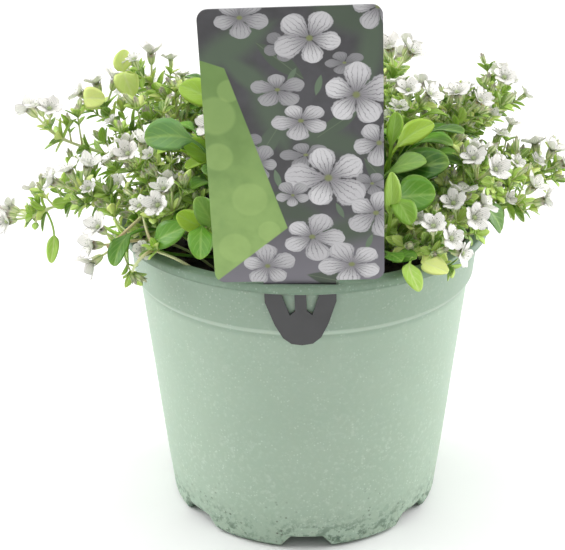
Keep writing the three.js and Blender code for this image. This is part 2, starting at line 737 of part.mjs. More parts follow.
/** One flower: a bowl whose outline has a notch between each two petals. */
function flowerSolid({ base, facing, first, second, radius }) {
  const outline = [];
  for (let k = 0; k < PETALS; k++) {
    const middle = (k * 2 * Math.PI) / PETALS;
    const marks = [
      [middle - PETAL_SHOULDER, 1],
      [middle + PETAL_SHOULDER, 1],
      [middle + Math.PI / PETALS, PETAL_NOTCH],
    ];
    for (const [angle, share] of marks) {
      const foot = along(base, facing, PETAL_THICKNESS / 2 + FLOWER_RISE * share * share);
      const outward = along(foot, first, share * radius * Math.cos(angle));
      outline.push(along(outward, second, share * radius * Math.sin(angle)));
    }
  }
  return loft([[base], outline, [along(base, facing, PETAL_THICKNESS)]]);
}

/** One tuft of basal leaves: a six-sided crown with a leaf on each of its faces. */
function tuftSolid({ crown, facing, leaves }) {
  const skin = new Skin();
  const half = Math.PI / CROWN_SIDES;
  const [across, up] = [polar(1, facing - half, 0), polar(1, facing - half + Math.PI / 2, 0)];
  const ringTo = (z, radius) => skin.ring(ringAt(at(crown.x, crown.y, z), across, up, radius, CROWN_SIDES));
  const foot = ringTo(SOIL_TOP - ROOT_DEPTH, CROWN_RADIUS);
  const low = ringTo(crown.z - CROWN_FACE, CROWN_RADIUS);
  const high = ringTo(crown.z + CROWN_FACE, CROWN_TOP_RADIUS);
  skin.cap(foot.toReversed());
  skin.band(foot, low, []);
  const feet = skin.band(low, high, leaves.map(({ face }) => face));
  skin.cap(high);
  for (const { face, curve, side, width } of leaves) {
    const rings = BLADE_SECTIONS.map((t) => {
      const { point, direction } = bezier(curve, t);
      const thickness = t < BLADE_START ? PETIOLE_WIDTH : BLADE_THICKNESS;
      return section(point, side, direction.clone().cross(side), bladeWidth(t, width), thickness);
    });
    skin.grow(feet[face], [...rings, [bezier(curve, 1).point]]);
  }
  return skin.solid();
}

// Solids of the pot, the soil and the label.

/** A solid turned about the pot's axis from a profile of radii and heights that starts and ends on it. */
function turned(profile, sides) {
  const points = profile.map(([radius, z]) => new THREE.Vector2(radius, z));
  return solid(new THREE.LatheGeometry(points, sides).rotateX(Math.PI / 2).rotateZ(Math.PI / 2));
}

/** A wedge that grows narrower upwards, lying along +X: the space of a notch, or its pocket when padded. */
function notchWedge(padding, from, to) {
  const [foot, roof] = [NOTCH_FOOT_WIDTH / 2 + padding, NOTCH_ROOF_WIDTH / 2 + padding];
  const top = NOTCH_HEIGHT + padding;
  const end = (x) => [at(x, -foot, -1), at(x, foot, -1), at(x, roof, top), at(x, -roof, top)];
  return loft([end(from), end(to)]);
}

/** The inside of the pot as a profile, set back from the outside by the wall and a gap. */
function insideProfile(gap, top) {
  const set = POT_WALL + gap;
  return [
    [0, POT_WALL + gap],
    [BODY_FOOT_RADIUS - set, POT_WALL + gap],
    [BODY_TOP_RADIUS - set, BODY_TOP_Z],
    [COLLAR_FOOT_RADIUS - set, COLLAR_FOOT_Z],
    [COLLAR_TOP_RADIUS - set, top],
    [0, top],
  ];
}

const notchTurn = (k) => (k * 360) / NOTCHES - 90;

function potSolid() {
  const outside = turned(
    [
      [0, 0],
      [BODY_FOOT_RADIUS - FOOT_CHAMFER, 0],
      [BODY_FOOT_RADIUS, FOOT_CHAMFER],
      [BODY_TOP_RADIUS, BODY_TOP_Z],
      [COLLAR_FOOT_RADIUS, COLLAR_FOOT_Z],
      [COLLAR_TOP_RADIUS, LIP_FOOT_Z],
      [LIP_RADIUS, LIP_FOOT_Z],
      [LIP_RADIUS, POT_HEIGHT],
      [0, POT_HEIGHT],
    ],
    POT_SIDES,
  );
  const pockets = [];
  const notches = [];
  for (let k = 0; k < NOTCHES; k++) {
    const turn = [0, 0, notchTurn(k)];
    pockets.push(notchWedge(POT_WALL, NOTCH_INNER_RADIUS - POT_WALL, LIP_RADIUS).rotate(turn));
    notches.push(notchWedge(0, NOTCH_INNER_RADIUS, LIP_RADIUS).rotate(turn));
    const drain = new THREE.BoxGeometry(DRAIN_WIDTH, DRAIN_WIDTH, 4 * NOTCH_HEIGHT);
    notches.push(solid(drain.translate(DRAIN_RADIUS, 0, 0)).rotate(turn));
  }
  const inside = turned(insideProfile(0, POT_HEIGHT + 1), POT_SIDES).subtract(wasm.Manifold.union(pockets));
  const depth = SHEET + 3 * LABEL_GAP;
  const slot = new THREE.BoxGeometry(2 * SLOT_HALF_WIDTH, depth, SLOT_HEIGHT);
  const slotMiddleZ = LIP_FOOT_Z + SLOT_HEIGHT / 2 - SLOT_SINK;
  slot.translate(0, -(COLLAR_TOP_RADIUS + depth / 2), slotMiddleZ).rotateZ(LABEL_TURN);
  return outside.subtract(inside).subtract(wasm.Manifold.union(notches)).subtract(solid(slot));
}

/** The height of the soil's uneven top at a place: two crossing waves. */
function soilHeight(x, y) {
  const waves = Math.sin(0.31 * x + 1.3) * Math.cos(0.27 * y) + Math.sin(0.17 * (x + y));
  return SOIL_TOP + SOIL_ROUGHNESS * (waves - 0.6);
}

function soilSolid(tufts, stems) {
  const block = turned(insideProfile(SOIL_GAP, POT_HEIGHT), SOIL_SIDES);
  const rings = [[at(0, 0, soilHeight(0, 0))]];
  for (const radius of SOIL_RINGS) {
    const ring = levelRing(at(0, 0, 0), 0, radius, SOIL_RING_SIDES);
    rings.push(ring.map(({ x, y }) => at(x, y, soilHeight(x, y))));
  }
  rings.push(rings.at(-1).map(({ x, y }) => at(x, y, 2 * POT_HEIGHT)));
  rings.push([at(0, 0, 2 * POT_HEIGHT)]);
  const above = loft(rings);
  const pockets = [];
  for (let k = 0; k < NOTCHES; k++) {
    const pocket = notchWedge(POT_WALL + SOIL_GAP, NOTCH_INNER_RADIUS - POT_WALL - SOIL_GAP, LIP_RADIUS);
    pockets.push(pocket.rotate([0, 0, notchTurn(k)]));
  }
  const hole = (root, radius) =>
    loft([SOIL_TOP - ROOT_DEPTH - HOLE_GAP, POT_HEIGHT].map((z) => levelRing(root, z, radius, 4)));
  const holes = stems.map(({ root }) => hole(root, (STEM_FOOT_RADIUS + HOLE_GAP) * Math.SQRT2));
  holes.push(...tufts.map(({ crown }) => hole(crown, (CROWN_RADIUS + HOLE_GAP) * Math.SQRT2)));
  return block.subtract(above).subtract(wasm.Manifold.union([...pockets, ...holes]));
}

/** The label's outline with its origin at the foot of the lip, and the two windows in its tongue. */
function labelShape() {
  const card = CARD_FOOT_Z - LIP_FOOT_Z;
  const top = card + CARD_HEIGHT;
  const half = CARD_WIDTH / 2;
  const tip = TONGUE_TIP_Z - LIP_FOOT_Z;
  const shape = new THREE.Shape();
  shape.moveTo(0, tip);
  shape.bezierCurveTo(5, tip, 6.5, tip + 2, TONGUE_HALF_WIDTH, -TONGUE_SHOULDER_DROP);
  shape.lineTo(TONGUE_HALF_WIDTH, card);
  shape.lineTo(half - CARD_CORNER, card);
  shape.absarc(half - CARD_CORNER, card + CARD_CORNER, CARD_CORNER, -Math.PI / 2, 0);
  shape.absarc(half - CARD_CORNER, top - CARD_CORNER, CARD_CORNER, 0, Math.PI / 2);
  shape.absarc(CARD_CORNER - half, top - CARD_CORNER, CARD_CORNER, Math.PI / 2, Math.PI);
  shape.absarc(CARD_CORNER - half, card + CARD_CORNER, CARD_CORNER, Math.PI, 1.5 * Math.PI);
  shape.lineTo(-TONGUE_HALF_WIDTH, card);
  shape.lineTo(-TONGUE_HALF_WIDTH, -TONGUE_SHOULDER_DROP);
  shape.bezierCurveTo(-6.5, tip + 2, -5, tip, 0, tip);
  for (const sign of [-1, 1]) {
    const [high, low] = [WINDOW_TOP_Z - LIP_FOOT_Z, WINDOW_FOOT_Z - LIP_FOOT_Z];
    const hole = new THREE.Path();
    hole.moveTo(sign * WINDOW_INNER_X, high);
    hole.lineTo(sign * WINDOW_OUTER_X, high);
    hole.lineTo(sign * (WINDOW_INNER_X + WINDOW_FOOT_WIDTH), low);
    hole.lineTo(sign * WINDOW_INNER_X, low + WINDOW_FOOT_SLOPE);
    hole.closePath();
    shape.holes.push(hole);
  }
  return shape;
}

/** Adds a named mesh of a solid to a group. */
function addPiece(group, name, made, material) {
  const mesh = new THREE.Mesh(geometryOf(made), material);
  mesh.name = name;
  group.add(mesh);
}

const plant = new THREE.Group();
const { tufts, stems } = layMound();
const numbered = (name, n) => `${name}_${String(n + 1).padStart(2, "0")}`;

addPiece(plant, "pot", potSolid(), paint("#a3b9a4", 0.5));
addPiece(plant, "soil", soilSolid(tufts, stems), paint("#241b14", 0.95));

const sheetCut = { depth: SHEET, bevelEnabled: false, curveSegments: 4 };
const sheet = new THREE.ExtrudeGeometry(labelShape(), sheetCut);
const label = new THREE.Mesh(geometryOf(solid(sheet.rotateX(Math.PI / 2))), paint("#5c5a5c", 0.35));
label.name = "label";
label.position.set(0, -(COLLAR_TOP_RADIUS + LABEL_GAP), LIP_FOOT_Z);
label.rotation.set(LABEL_LEAN, LABEL_ROLL, 0);
const labelPlace = new THREE.Group();
labelPlace.rotation.z = LABEL_TURN;
labelPlace.add(label);
plant.add(labelPlace);

tufts.forEach((tuft, n) => {
  addPiece(plant, numbered("basal_leaves", n), tuftSolid(tuft), paint("#5c9228", 0.45));
});
stems.forEach((stem, n) => {
  addPiece(plant, numbered("leafy_stem", n), stemSolid(stem), paint("#7fa23f", 0.6));
  const head = wasm.Manifold.union(stem.flowers.map(flowerSolid));
  addPiece(plant, numbered("flower_head", n), head, paint("#f1edf2", 0.55));
});

export default plant;
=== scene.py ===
"""Looks of a potted alpine gypsophila (Gypsophila cerastioides) in its nursery pot with a picture label.

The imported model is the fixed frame. Every node of it, except the label's sheet, is stood for by a finer
surface in the same place. The layout of the mound is worked out here by the same rule and the same draws
as in the model's source, in millimetres, and meshes are written in metres.
"""

import logging
import math
from collections.abc import Callable, Sequence
from dataclasses import dataclass, field
from enum import IntEnum
from itertools import product
from typing import ClassVar

import bpy
import numpy as np
from mathutils import Matrix, Vector


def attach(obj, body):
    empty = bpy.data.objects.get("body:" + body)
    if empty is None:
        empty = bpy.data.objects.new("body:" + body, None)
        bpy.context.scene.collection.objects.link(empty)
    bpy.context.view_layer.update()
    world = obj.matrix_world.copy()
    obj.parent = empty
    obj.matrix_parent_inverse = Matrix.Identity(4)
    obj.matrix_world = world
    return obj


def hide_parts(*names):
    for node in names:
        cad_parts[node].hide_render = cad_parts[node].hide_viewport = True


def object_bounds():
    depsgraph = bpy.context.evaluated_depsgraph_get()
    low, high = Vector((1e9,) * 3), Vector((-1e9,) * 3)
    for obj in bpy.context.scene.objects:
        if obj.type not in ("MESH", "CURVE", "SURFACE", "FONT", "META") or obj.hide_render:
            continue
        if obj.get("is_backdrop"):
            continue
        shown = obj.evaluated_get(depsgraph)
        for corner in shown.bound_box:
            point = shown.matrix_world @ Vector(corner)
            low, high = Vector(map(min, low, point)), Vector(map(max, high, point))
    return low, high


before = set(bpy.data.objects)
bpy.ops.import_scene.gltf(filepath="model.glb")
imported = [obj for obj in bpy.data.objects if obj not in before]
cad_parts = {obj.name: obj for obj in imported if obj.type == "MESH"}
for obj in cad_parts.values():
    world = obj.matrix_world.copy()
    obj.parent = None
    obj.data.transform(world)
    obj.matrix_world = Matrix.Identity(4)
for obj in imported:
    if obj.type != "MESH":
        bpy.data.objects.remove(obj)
CAD_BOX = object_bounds()

logging.basicConfig(level=logging.INFO, format="%(message)s")
log = logging.getLogger("gypsophila")

Array = np.ndarray
Rng = np.random.Generator
MM = 0.001
TAU = 2.0 * math.pi
ROOT = "root"
UP = np.array([0.0, 0.0, 1.0])

# Pot, label and soil, as in the model.
POT_HEIGHT = 100.0
LIP_RADIUS = 60.0
LIP_FOOT_Z = 97.0
COLLAR_TOP_RADIUS = 57.0
COLLAR_FOOT_RADIUS = 55.8
COLLAR_FOOT_Z = 83.0
BODY_TOP_RADIUS = 54.3
BODY_TOP_Z = 81.5
BODY_FOOT_RADIUS = 45.8
FOOT_CHAMFER = 1.5
POT_WALL = 1.3
NOTCHES = 7
NOTCH_FOOT_WIDTH = 16.6
NOTCH_ROOF_WIDTH = 10.4
NOTCH_HEIGHT = 4.0
NOTCH_INNER_RADIUS = 32.0
DRAIN_WIDTH = 5.0
DRAIN_RADIUS = 38.0
SHEET = 0.6
CARD_WIDTH = 48.5
LABEL_TURN = math.radians(-2.0)
LABEL_ROLL = math.radians(-1.7)
LABEL_LEAN = math.atan((COLLAR_TOP_RADIUS - COLLAR_FOOT_RADIUS) / (LIP_FOOT_Z - COLLAR_FOOT_Z))
LABEL_GAP = 0.3
LABEL_SHIFT = -3.0
LABEL_MARGIN = 2.0
SLOT_HALF_WIDTH = 10.9
SOIL_TOP = 91.0
SOIL_ROUGHNESS = 0.45

# Leafy stems: azimuth in degrees from +X, reach of the tip from the axis, height of the tip, flowers.
STEMS = (
    (-177, 88, 101, 3), (176, 82, 127, 3), (-169, 71, 112, 3), (166, 67, 131, 3), (-161, 54, 121, 4),
    (-139, 52, 113, 4), (-149, 66, 103, 3), (157, 54, 138, 2), (-133, 36, 134, 3), (18, 31, 144, 4),
    (-16, 34, 136, 4), (0, 50, 131, 4), (13, 65, 134, 3), (-20, 58, 119, 4), (2, 77, 112, 3),
    (-10, 68, 106, 2), (-36, 57, 109, 4), (-51, 59, 106, 4), (36, 75, 117, 4), (58, 60, 132, 4),
    (78, 76, 112, 3), (100, 60, 131, 4), (122, 76, 114, 4), (142, 70, 124, 3), (85, 32, 145, 4),
    (-97, 20, 137, 4),
)
ROOT_SHARE = 0.42
ROOT_NEAREST = 9.0
ROOT_FARTHEST = 41.0
ROOT_PLAY = 0.25
ROOT_TURN_PLAY = 9.0
TURN_PLAY = 1.5
TURN_STEPS = 8
KNEE_SHARE = 0.22
KNEE_LEAST = 18.0
KNEE_RISE = 0.62
ELBOW_SHARE = 0.86
ELBOW_DROP = 5.0
ELBOW_ABOVE_LIP = 6.0
OUTER_REACH = 62.0
OUTER_KNEE_LIFT = 6.0
OUTER_ELBOW_DROP = 9.0
TIP_UPTURN = 0.4
BEAD_SPACING = 2.2
LENGTH_STEPS = 60
STEM_FOOT_RADIUS = 1.05
LOWER_BENDS = (0.15, 0.3)
LEAF_NODES = (0.44, 0.61, 0.77, 0.92)
STATIONS = (0.0, *LOWER_BENDS, *LEAF_NODES, 1.0)
SHOOT_NODES = (1, 0)
LEAF_LENGTH = 7.8
LEAF_WIDTH = 3.3
LEAF_ANGLES = tuple(math.radians(angle) for angle in (52, 40, 64, 76))
LEAF_ARCH = 0.12
LEAF_BEADS = ((0.3, 0.3, True), (0.55, 0.42, False), (0.78, 0.36, False), (0.95, 0.2, False))
SHOOT_LENGTH = 12.0
SHOOT_BEND = 0.45
SHOOT_NODE = 0.3
SHOOT_LEAF_SIZE = 0.9
SHOOT_BEADS = ((0.3, 1.2), (0.6, 1.2), (0.9, 1.4), (1.2, 1.2), (1.45, 0.7))
SHOOT_RADIUS = 0.7
FLOWER_RADIUS = 5.2
FLOWER_RISE = 1.6
FLOWER_SPACING = {2: 3.2, 3: 5.9, 4: 5.0}
MIDDLE_DROP = 0.9
PETALS = 5
STALK_LENGTH = 6.0
CALYX_LENGTH = 3.0
SEAT_GAP = 0.35
# Beads of a flower: on its axis as height, radius and whether it is rooted, and round the rim of its bowl.
FLOWER_BEADS = ((1.0, 1.6, False), (-1.5, 1.2, False), (-4.5, 0.8, True))
RIM_RISE = 0.7
RIM_REACH = 0.68
RIM_BEAD = 1.7
END_FACE = 4
EVEN_TURN = math.pi / (2 * PETALS)
HEAD_FACES = {2: (0, 2), 3: (0, 2, END_FACE), 4: (0, 1, 2, 3)}
TUFTS = ((-22, -22, -140), (24, -17, -35), (20, 21, 45), (-18, 22, 130), (-2, -4, -90))
EARLY_TUFTS = 2
CROWN_RADIUS = 2.4
CROWN_SIDES = 6
CROWN_HEIGHT = 2.0
BLADE_WIDTH = 11.0
PETIOLE_WIDTH = 1.5
BLADE_START = 0.58
BLADE_BEADS = (0.61, 0.69, 0.77, 0.85, 0.93, 0.99)
PETIOLE_BEADS = (0.05, 0.12, 0.19, 0.26, 0.33, 0.4, 0.47, 0.54)
CLEARANCE = 0.4
TRIES = 24
SHOOT_TRIES = 10


class Seed(IntEnum):
    """Where the random draws of each kind of piece start."""

    SOIL = 77
    STEM = 1000
    TUFT = 2000
    HEAD = 3000
    GROWTH = 5000
    RUNNERS = 6000
    LARGE_LEAVES = 8100
    SMALL_LEAVES = 8200

    def draws(self, number: int = 0) -> Rng:
        """The draws of the piece of this kind with a number."""
        return np.random.default_rng(self + number)


# Directions, curves and draws.


def vec(x: float, y: float, z: float) -> Array:
    """A point or direction."""
    return np.array([x, y, z], float)


def unit(direction: Array) -> Array:
    """The unit vector, or unit vectors, along the last axis."""
    return direction / np.sqrt(np.sum(direction * direction, axis=-1, keepdims=True))


def polar(radius: float, azimuth: float, z: float = 0.0) -> Array:
    """A point at a radius and an azimuth round the pot's axis."""
    return vec(radius * math.cos(azimuth), radius * math.sin(azimuth), z)


def mix(a: Array, b: Array, share: float) -> Array:
    """The point at a share of the way from a to b."""
    return a * (1.0 - share) + b * share


def swing(first: Array, second: Array, angle: float) -> Array:
    """The unit direction at an angle from the first of two directions at right angles, towards the second."""
    return first * math.cos(angle) + second * math.sin(angle)


def frame_of(direction: Array) -> tuple[Array, Array]:
    """Two unit directions at right angles to a given one: a level one, and one that completes the frame."""
    across = vec(-direction[1], direction[0], 0.0)
    if math.sqrt(across @ across) < 1e-6:
        across = vec(1.0, 0.0, 0.0)
    across = unit(across)
    return across, np.cross(direction, across)


def sideways(direction: Array, angle: float) -> Array:
    """A unit direction at right angles to the given one, turned round it by an angle."""
    across, up = frame_of(direction)
    return swing(across, up, angle)


def bezier(curve: Sequence[Array], t: float | Array) -> Array:
    """Points of a cubic Bezier curve: its four corners weighted by the cubic Bernstein terms of t.

    Args:
        curve: The four corners.
        t: One parameter, or an array of them.

    Returns:
        One point, or an array of points with one row for each parameter.
    """
    t = np.asarray(t, float)[..., None]
    s = 1.0 - t
    a, b, c, d = curve
    return a * (s * s * s) + b * (3 * s * s * t) + c * (3 * s * t * t) + d * (t * t * t)


def bezier_way(curve: Sequence[Array], t: float | Array) -> Array:
    """Unit directions of a cubic Bezier curve: the derivative of its weighted corners, made unit.

    Args:
        curve: The four corners.
        t: One parameter, or an array of them.

    Returns:
        One direction, or an array of them.
    """
    t = np.asarray(t, float)[..., None]
    s = 1.0 - t
    a, b, c, d = curve
    return unit(a * (-s * s) + b * (s * s - 2 * s * t) + c * (2 * s * t - t * t) + d * (t * t))


def param_at(curve: Sequence[Array], share: float) -> float:
    """The parameter of a curve at which a share of its length is reached."""
    points = bezier(curve, np.arange(LENGTH_STEPS + 1) / LENGTH_STEPS)
    steps = np.sqrt(np.sum(np.diff(points, axis=0) ** 2, axis=1))
    reached = np.concatenate([[0.0], np.cumsum(steps)])
    goal = share * reached[-1]
    i = max(1, int(np.argmax(reached >= goal)))
    return (i - 1 + (goal - reached[i - 1]) / (reached[i] - reached[i - 1])) / LENGTH_STEPS


class Draws:
    """A repeatable stream of draws between 0 and 1: each state is a multiple of the last plus a step."""

    first, multiple, step, states = 2654435761, 1664525, 1013904223, 2**32

    def __init__(self, seed: int) -> None:
        """Starts the stream of a seed."""
        self.state = (seed * self.first) % self.states

    def next(self) -> float:
        """The next draw."""
        self.state = (self.state * self.multiple + self.step) % self.states
        return self.state / self.states

    def spread(self, span: float) -> float:
        """The next draw, between minus and plus the span."""
        return (2 * self.next() - 1) * span


# The layout of the mound.


@dataclass
class Beads:
    """Spheres that stand for a piece while it is placed.

    Rooted beads lie where a piece grows out of its owner, so they are only tested against other owners.
    """

    points: Array
    radii: Array
    rooted: Array

    @staticmethod
    def of(rows: Sequence[tuple[Array, float, bool]]) -> "Beads":
        """Beads from rows of point, radius and whether it is rooted."""
        points, radii, rooted = zip(*rows)
        return Beads(np.array(points), np.array(radii, float), np.array(rooted, bool))

    @staticmethod
    def string(points: Array, radius: float) -> "Beads":
        """Beads of one radius."""
        return Beads(points, np.full(len(points), radius), np.zeros(len(points), bool))


def join(parts: Sequence[Beads]) -> Beads:
    """Several lots of beads as one."""
    lots = ([getattr(part, name) for part in parts] for name in ("points", "radii", "rooted"))
    return Beads(*(np.concatenate(lot) for lot in lots))


def label_y(z: Array) -> Array:
    """The middle of the label's sheet at a height, on the line of the slot."""
    return -(COLLAR_TOP_RADIUS + LABEL_GAP + SHEET / 2) - (z - LIP_FOOT_Z) * math.tan(LABEL_LEAN)


def clears_pot(beads: Beads) -> bool:
    """Whether beads are clear of the soil, the pot's wall and lip, the label and the space in front of it."""
    x, y, z = beads.points.T
    radii = beads.radii
    reach = np.hypot(x, y)
    in_soil = (reach < LIP_RADIUS) & (z - radii < SOIL_TOP + SOIL_ROUGHNESS)
    beside_lip = (reach + radii > COLLAR_FOOT_RADIUS - POT_WALL) & (reach - radii < LIP_RADIUS + CLEARANCE)
    in_lip = beside_lip & (z - radii < POT_HEIGHT + CLEARANCE)
    across_label = np.abs(x - LABEL_SHIFT) < CARD_WIDTH / 2 + radii + LABEL_MARGIN
    in_label = across_label & (y - radii < label_y(z) + SHEET)
    return not np.any(in_soil | in_lip | in_label)


class Crowd:
    """The beads of everything placed so far, with the piece that owns them, sorted into cubic cells."""

    cell = 4.0
    most = 80000

    def __init__(self) -> None:
        """Starts with nothing placed."""
        self.points = np.zeros((self.most, 3))
        self.radii = np.zeros(self.most)
        self.owners = np.zeros(self.most, int)
        self.count = 0
        self.largest = 0.0
        self.numbers: dict[str, int] = {}
        self.cells: dict[tuple[int, int, int], list[int]] = {}

    def near(self, beads: Beads, clearance: float) -> Array:
        """The numbers of the kept beads in all cells that lie near some beads."""
        reach = beads.radii.max() + self.largest + clearance
        low = np.floor((beads.points.min(axis=0) - reach) / self.cell).astype(int).tolist()
        high = np.floor((beads.points.max(axis=0) + reach) / self.cell).astype(int).tolist()
        spans = [range(a, b + 1) for a, b in zip(low, high)]
        found: list[int] = []
        for key in product(*spans):
            found += self.cells.get(key, ())
        return np.array(found, int)

    def clears(self, owner: str, beads: Beads, clearance: float) -> bool:
        """Whether beads are clear of all that stands already."""
        near = self.near(beads, clearance)
        if not len(near):
            return True
        gaps = np.sqrt(np.sum((beads.points[:, None] - self.points[near][None]) ** 2, axis=2))
        close = gaps <= beads.radii[:, None] + self.radii[near][None] + clearance
        own = self.owners[near] == self.numbers.get(owner, -1)
        return not np.any(close & ~(beads.rooted[:, None] & own[None]))

    def keep(self, owner: str, beads: Beads) -> None:
        """Keeps the beads of a piece."""
        number = self.numbers.setdefault(owner, len(self.numbers))
        start, self.count = self.count, self.count + len(beads.radii)
        self.points[start : self.count] = beads.points
        self.radii[start : self.count] = beads.radii
        self.owners[start : self.count] = number
        self.largest = max(self.largest, float(beads.radii.max()))
        for k, key in enumerate(np.floor(beads.points / self.cell).astype(int).tolist()):
            self.cells.setdefault(tuple(key), []).append(start + k)

    def seat(self, owner: str, beads: Beads, clearance: float = CLEARANCE) -> bool:
        """Keeps the beads of a piece if they are clear of the pot and of all that stands already."""
        free = clears_pot(beads) and self.clears(owner, beads, clearance)
        if free:
            self.keep(owner, beads)
        return free

    def place(self, owner: str, tries: int, make: Callable[[int], "Laid"]) -> "Laid | None":
        """Keeps the first of several tried pieces that is clear of the pot and of all that stands already."""
        for k in range(tries):
            made = make(k)
            if self.seat(owner, made.beads):
                return made
        return None


@dataclass
class Laid:
    """Anything that is placed by its beads."""

    beads: Beads


@dataclass
class Station:
    """A place on a stem: its point, the stem's direction, and a direction across that is carried along it."""

    point: Array
    direction: Array
    across: Array

    def face_out(self, face: int) -> Array:
        """The outward direction of one of the four faces of the stem."""
        way = self.across if face % 2 == 0 else np.cross(self.direction, self.across)
        return way if face < 2 else -way


@dataclass
class Leaf(Laid):
    """A small leaf: where it starts, the way it points, its side, its upper face, and its size."""

    point: Array
    blade: Array
    side: Array
    normal: Array
    length: float
    width: float


@dataclass
class Flower:
    """A flower: the middle of its bowl, the way it faces, the way its first petal points, and its radius."""

    base: Array
    facing: Array
    first: Array
    second: Array
    radius: float
    beads: Beads


@dataclass
class Head(Laid):
    """The flowers at the end of one stem."""

    flowers: list[Flower]


@dataclass
class Shoot(Laid):
    """A side shoot: its bend, its end, and the node with its pair of leaves."""

    bend: Array
    end: Array
    node: Station
    leaves: list[Leaf] = field(default_factory=list)


@dataclass
class Node:
    """A node of a stem, with its leaves and its side shoot."""

    station: Station
    leaves: list[Leaf] = field(default_factory=list)
    shoot: Shoot | None = None


@dataclass
class StemLine(Laid):
    """The curve of one leafy stem."""

    curve: list[Array]


@dataclass
class Stem:
    """One leafy stem with its head."""

    line: StemLine
    draw: Draws
    stations: list[Station]
    flowers: list[Flower]
    nodes: list[Node] = field(default_factory=list)


@dataclass
class BasalLeaf(Laid):
    """A spoon-shaped leaf of a tuft: its curve, its side and the width of its blade."""

    curve: list[Array]
    side: Array
    width: float


@dataclass
class Crown(Laid):
    """The crown of a tuft."""

    point: Array


@dataclass
class Tuft:
    """A tuft of basal leaves on its crown."""

    crown: Array
    facing: float
    leaves: list[BasalLeaf]


def blade_width(t: Array, width: float) -> Array:
    """The width of a basal leaf at t along it: a narrow stalk, then an oval blade that ends in a round tip.

    Args:
        t: Shares of the leaf's curve.
        width: The width of the blade.

    Returns:
        The stalk's width up to the blade's start. From there u runs from 0 to 1, and the width is the stalk's
        width, fading, plus the blade's width times the root of the sine of pi times u to the power 0.8.
    """
    u = np.clip((np.asarray(t, float) - BLADE_START) / (1 - BLADE_START), 0.0, 1.0)
    oval = np.sqrt(np.clip(np.sin(math.pi * np.power(u, 0.8)), 0.0, 1.0))
    return PETIOLE_WIDTH * (1 - u) + (width - PETIOLE_WIDTH / 2) * oval


def lay_stem_line(draw: Draws, row: tuple[int, int, int, int], k: int) -> StemLine:
    """The curve of one leafy stem: out of the soil, over the lip, and rising again at its tip."""
    turn, reach, height, _ = row
    azimuth = math.radians(turn + draw.spread(TURN_PLAY * min(k, TURN_STEPS)))
    root_azimuth = azimuth + math.radians(draw.spread(ROOT_TURN_PLAY + k))
    root_reach = min(ROOT_FARTHEST, ROOT_NEAREST + ROOT_SHARE * reach) * (1 - ROOT_PLAY * draw.next())
    root = polar(root_reach, root_azimuth, SOIL_TOP + 2)
    tip = polar(reach, azimuth, height)
    outer = reach > OUTER_REACH
    lift, drop = (OUTER_KNEE_LIFT, OUTER_ELBOW_DROP) if outer else (0.0, ELBOW_DROP)
    knee = mix(root, tip, KNEE_SHARE)
    knee[2] = SOIL_TOP + max(KNEE_LEAST, KNEE_RISE * (height - SOIL_TOP)) + lift
    elbow = mix(root, tip, ELBOW_SHARE)
    elbow[2] = max(height - drop, POT_HEIGHT + ELBOW_ABOVE_LIP)
    curve = [root, knee, elbow, tip]
    corners = [bezier(curve, param_at(curve, share)) for share in STATIONS]
    strings = []
    for start, end in zip(corners, corners[1:]):
        count = math.ceil(math.sqrt((end - start) @ (end - start)) / BEAD_SPACING)
        shares = np.arange(count + 1)[:, None] / count
        strings.append(Beads.string(start * (1 - shares) + end * shares, STEM_FOOT_RADIUS))
    return StemLine(join(strings), curve)


def stations_of(curve: Sequence[Array], phase: float) -> list[Station]:
    """Stations along a stem, each with a direction across it that is carried on without twist."""
    across = sideways(bezier_way(curve, 0.0), phase)
    stations = []
    for share in STATIONS:
        t = param_at(curve, share)
        direction = bezier_way(curve, t)
        across = unit(across - direction * (across @ direction))
        stations.append(Station(bezier(curve, t), direction, across))
    return stations


def leaf_beads(
    spots: Sequence[tuple], point: Array, blade: Array, normal: Array, length: float, width: float
) -> Beads:
    """Beads along a small leaf: each at a share of its length, of a share of its width, and rooted or not."""
    rows = []
    for share, part, rooted in spots:
        drop = normal * (LEAF_ARCH * share * share * length)
        rows.append((point + blade * (share * length) - drop, part * width, rooted))
    return Beads.of(rows)


def lay_leaf(station: Station, face: int, angle: float, size: float) -> Leaf:
    """A small leaf on a face of a station, at an angle to the stem."""
    out = station.face_out(face)
    blade = swing(station.direction, out, angle)
    side = np.cross(station.direction, out)
    normal = np.cross(blade, side)
    length, width = size * LEAF_LENGTH, size * LEAF_WIDTH
    beads = leaf_beads(LEAF_BEADS, station.point, blade, normal, length, width)
    return Leaf(beads, station.point, blade, side, normal, length, width)


def place_pair(crowd: Crowd, owner: str, station: Station, first_face: int, size: float) -> list[Leaf]:
    """The two opposite leaves of a node, each at the first angle at which it is clear, or left out."""
    leaves = []
    for face in (first_face, first_face + 2):
        leaf = crowd.place(
            owner,
            len(LEAF_ANGLES),
            lambda k, face=face: lay_leaf(station, face, LEAF_ANGLES[k], size * (0.85 if k > 1 else 1)),
        )
        if leaf:
            leaves.append(leaf)
    return leaves


def lay_flower(tip: Array, facing: Array, inward: Array, length: float, radius: float) -> Flower:
    """A flower at the end of a stalk, with its first petal turned inwards."""
    base = tip + facing * length
    first = unit(inward - facing * (inward @ facing))
    second = np.cross(facing, first)
    rim = base + facing * (RIM_RISE * FLOWER_RISE)
    rows = [(base + facing * height, bead, rooted) for height, bead, rooted in FLOWER_BEADS]
    for k in range(PETALS):
        rows.append((rim + swing(first, second, TAU * k / PETALS) * (RIM_REACH * radius), RIM_BEAD, False))
    return Flower(base, facing, first, second, radius, Beads.of(rows))


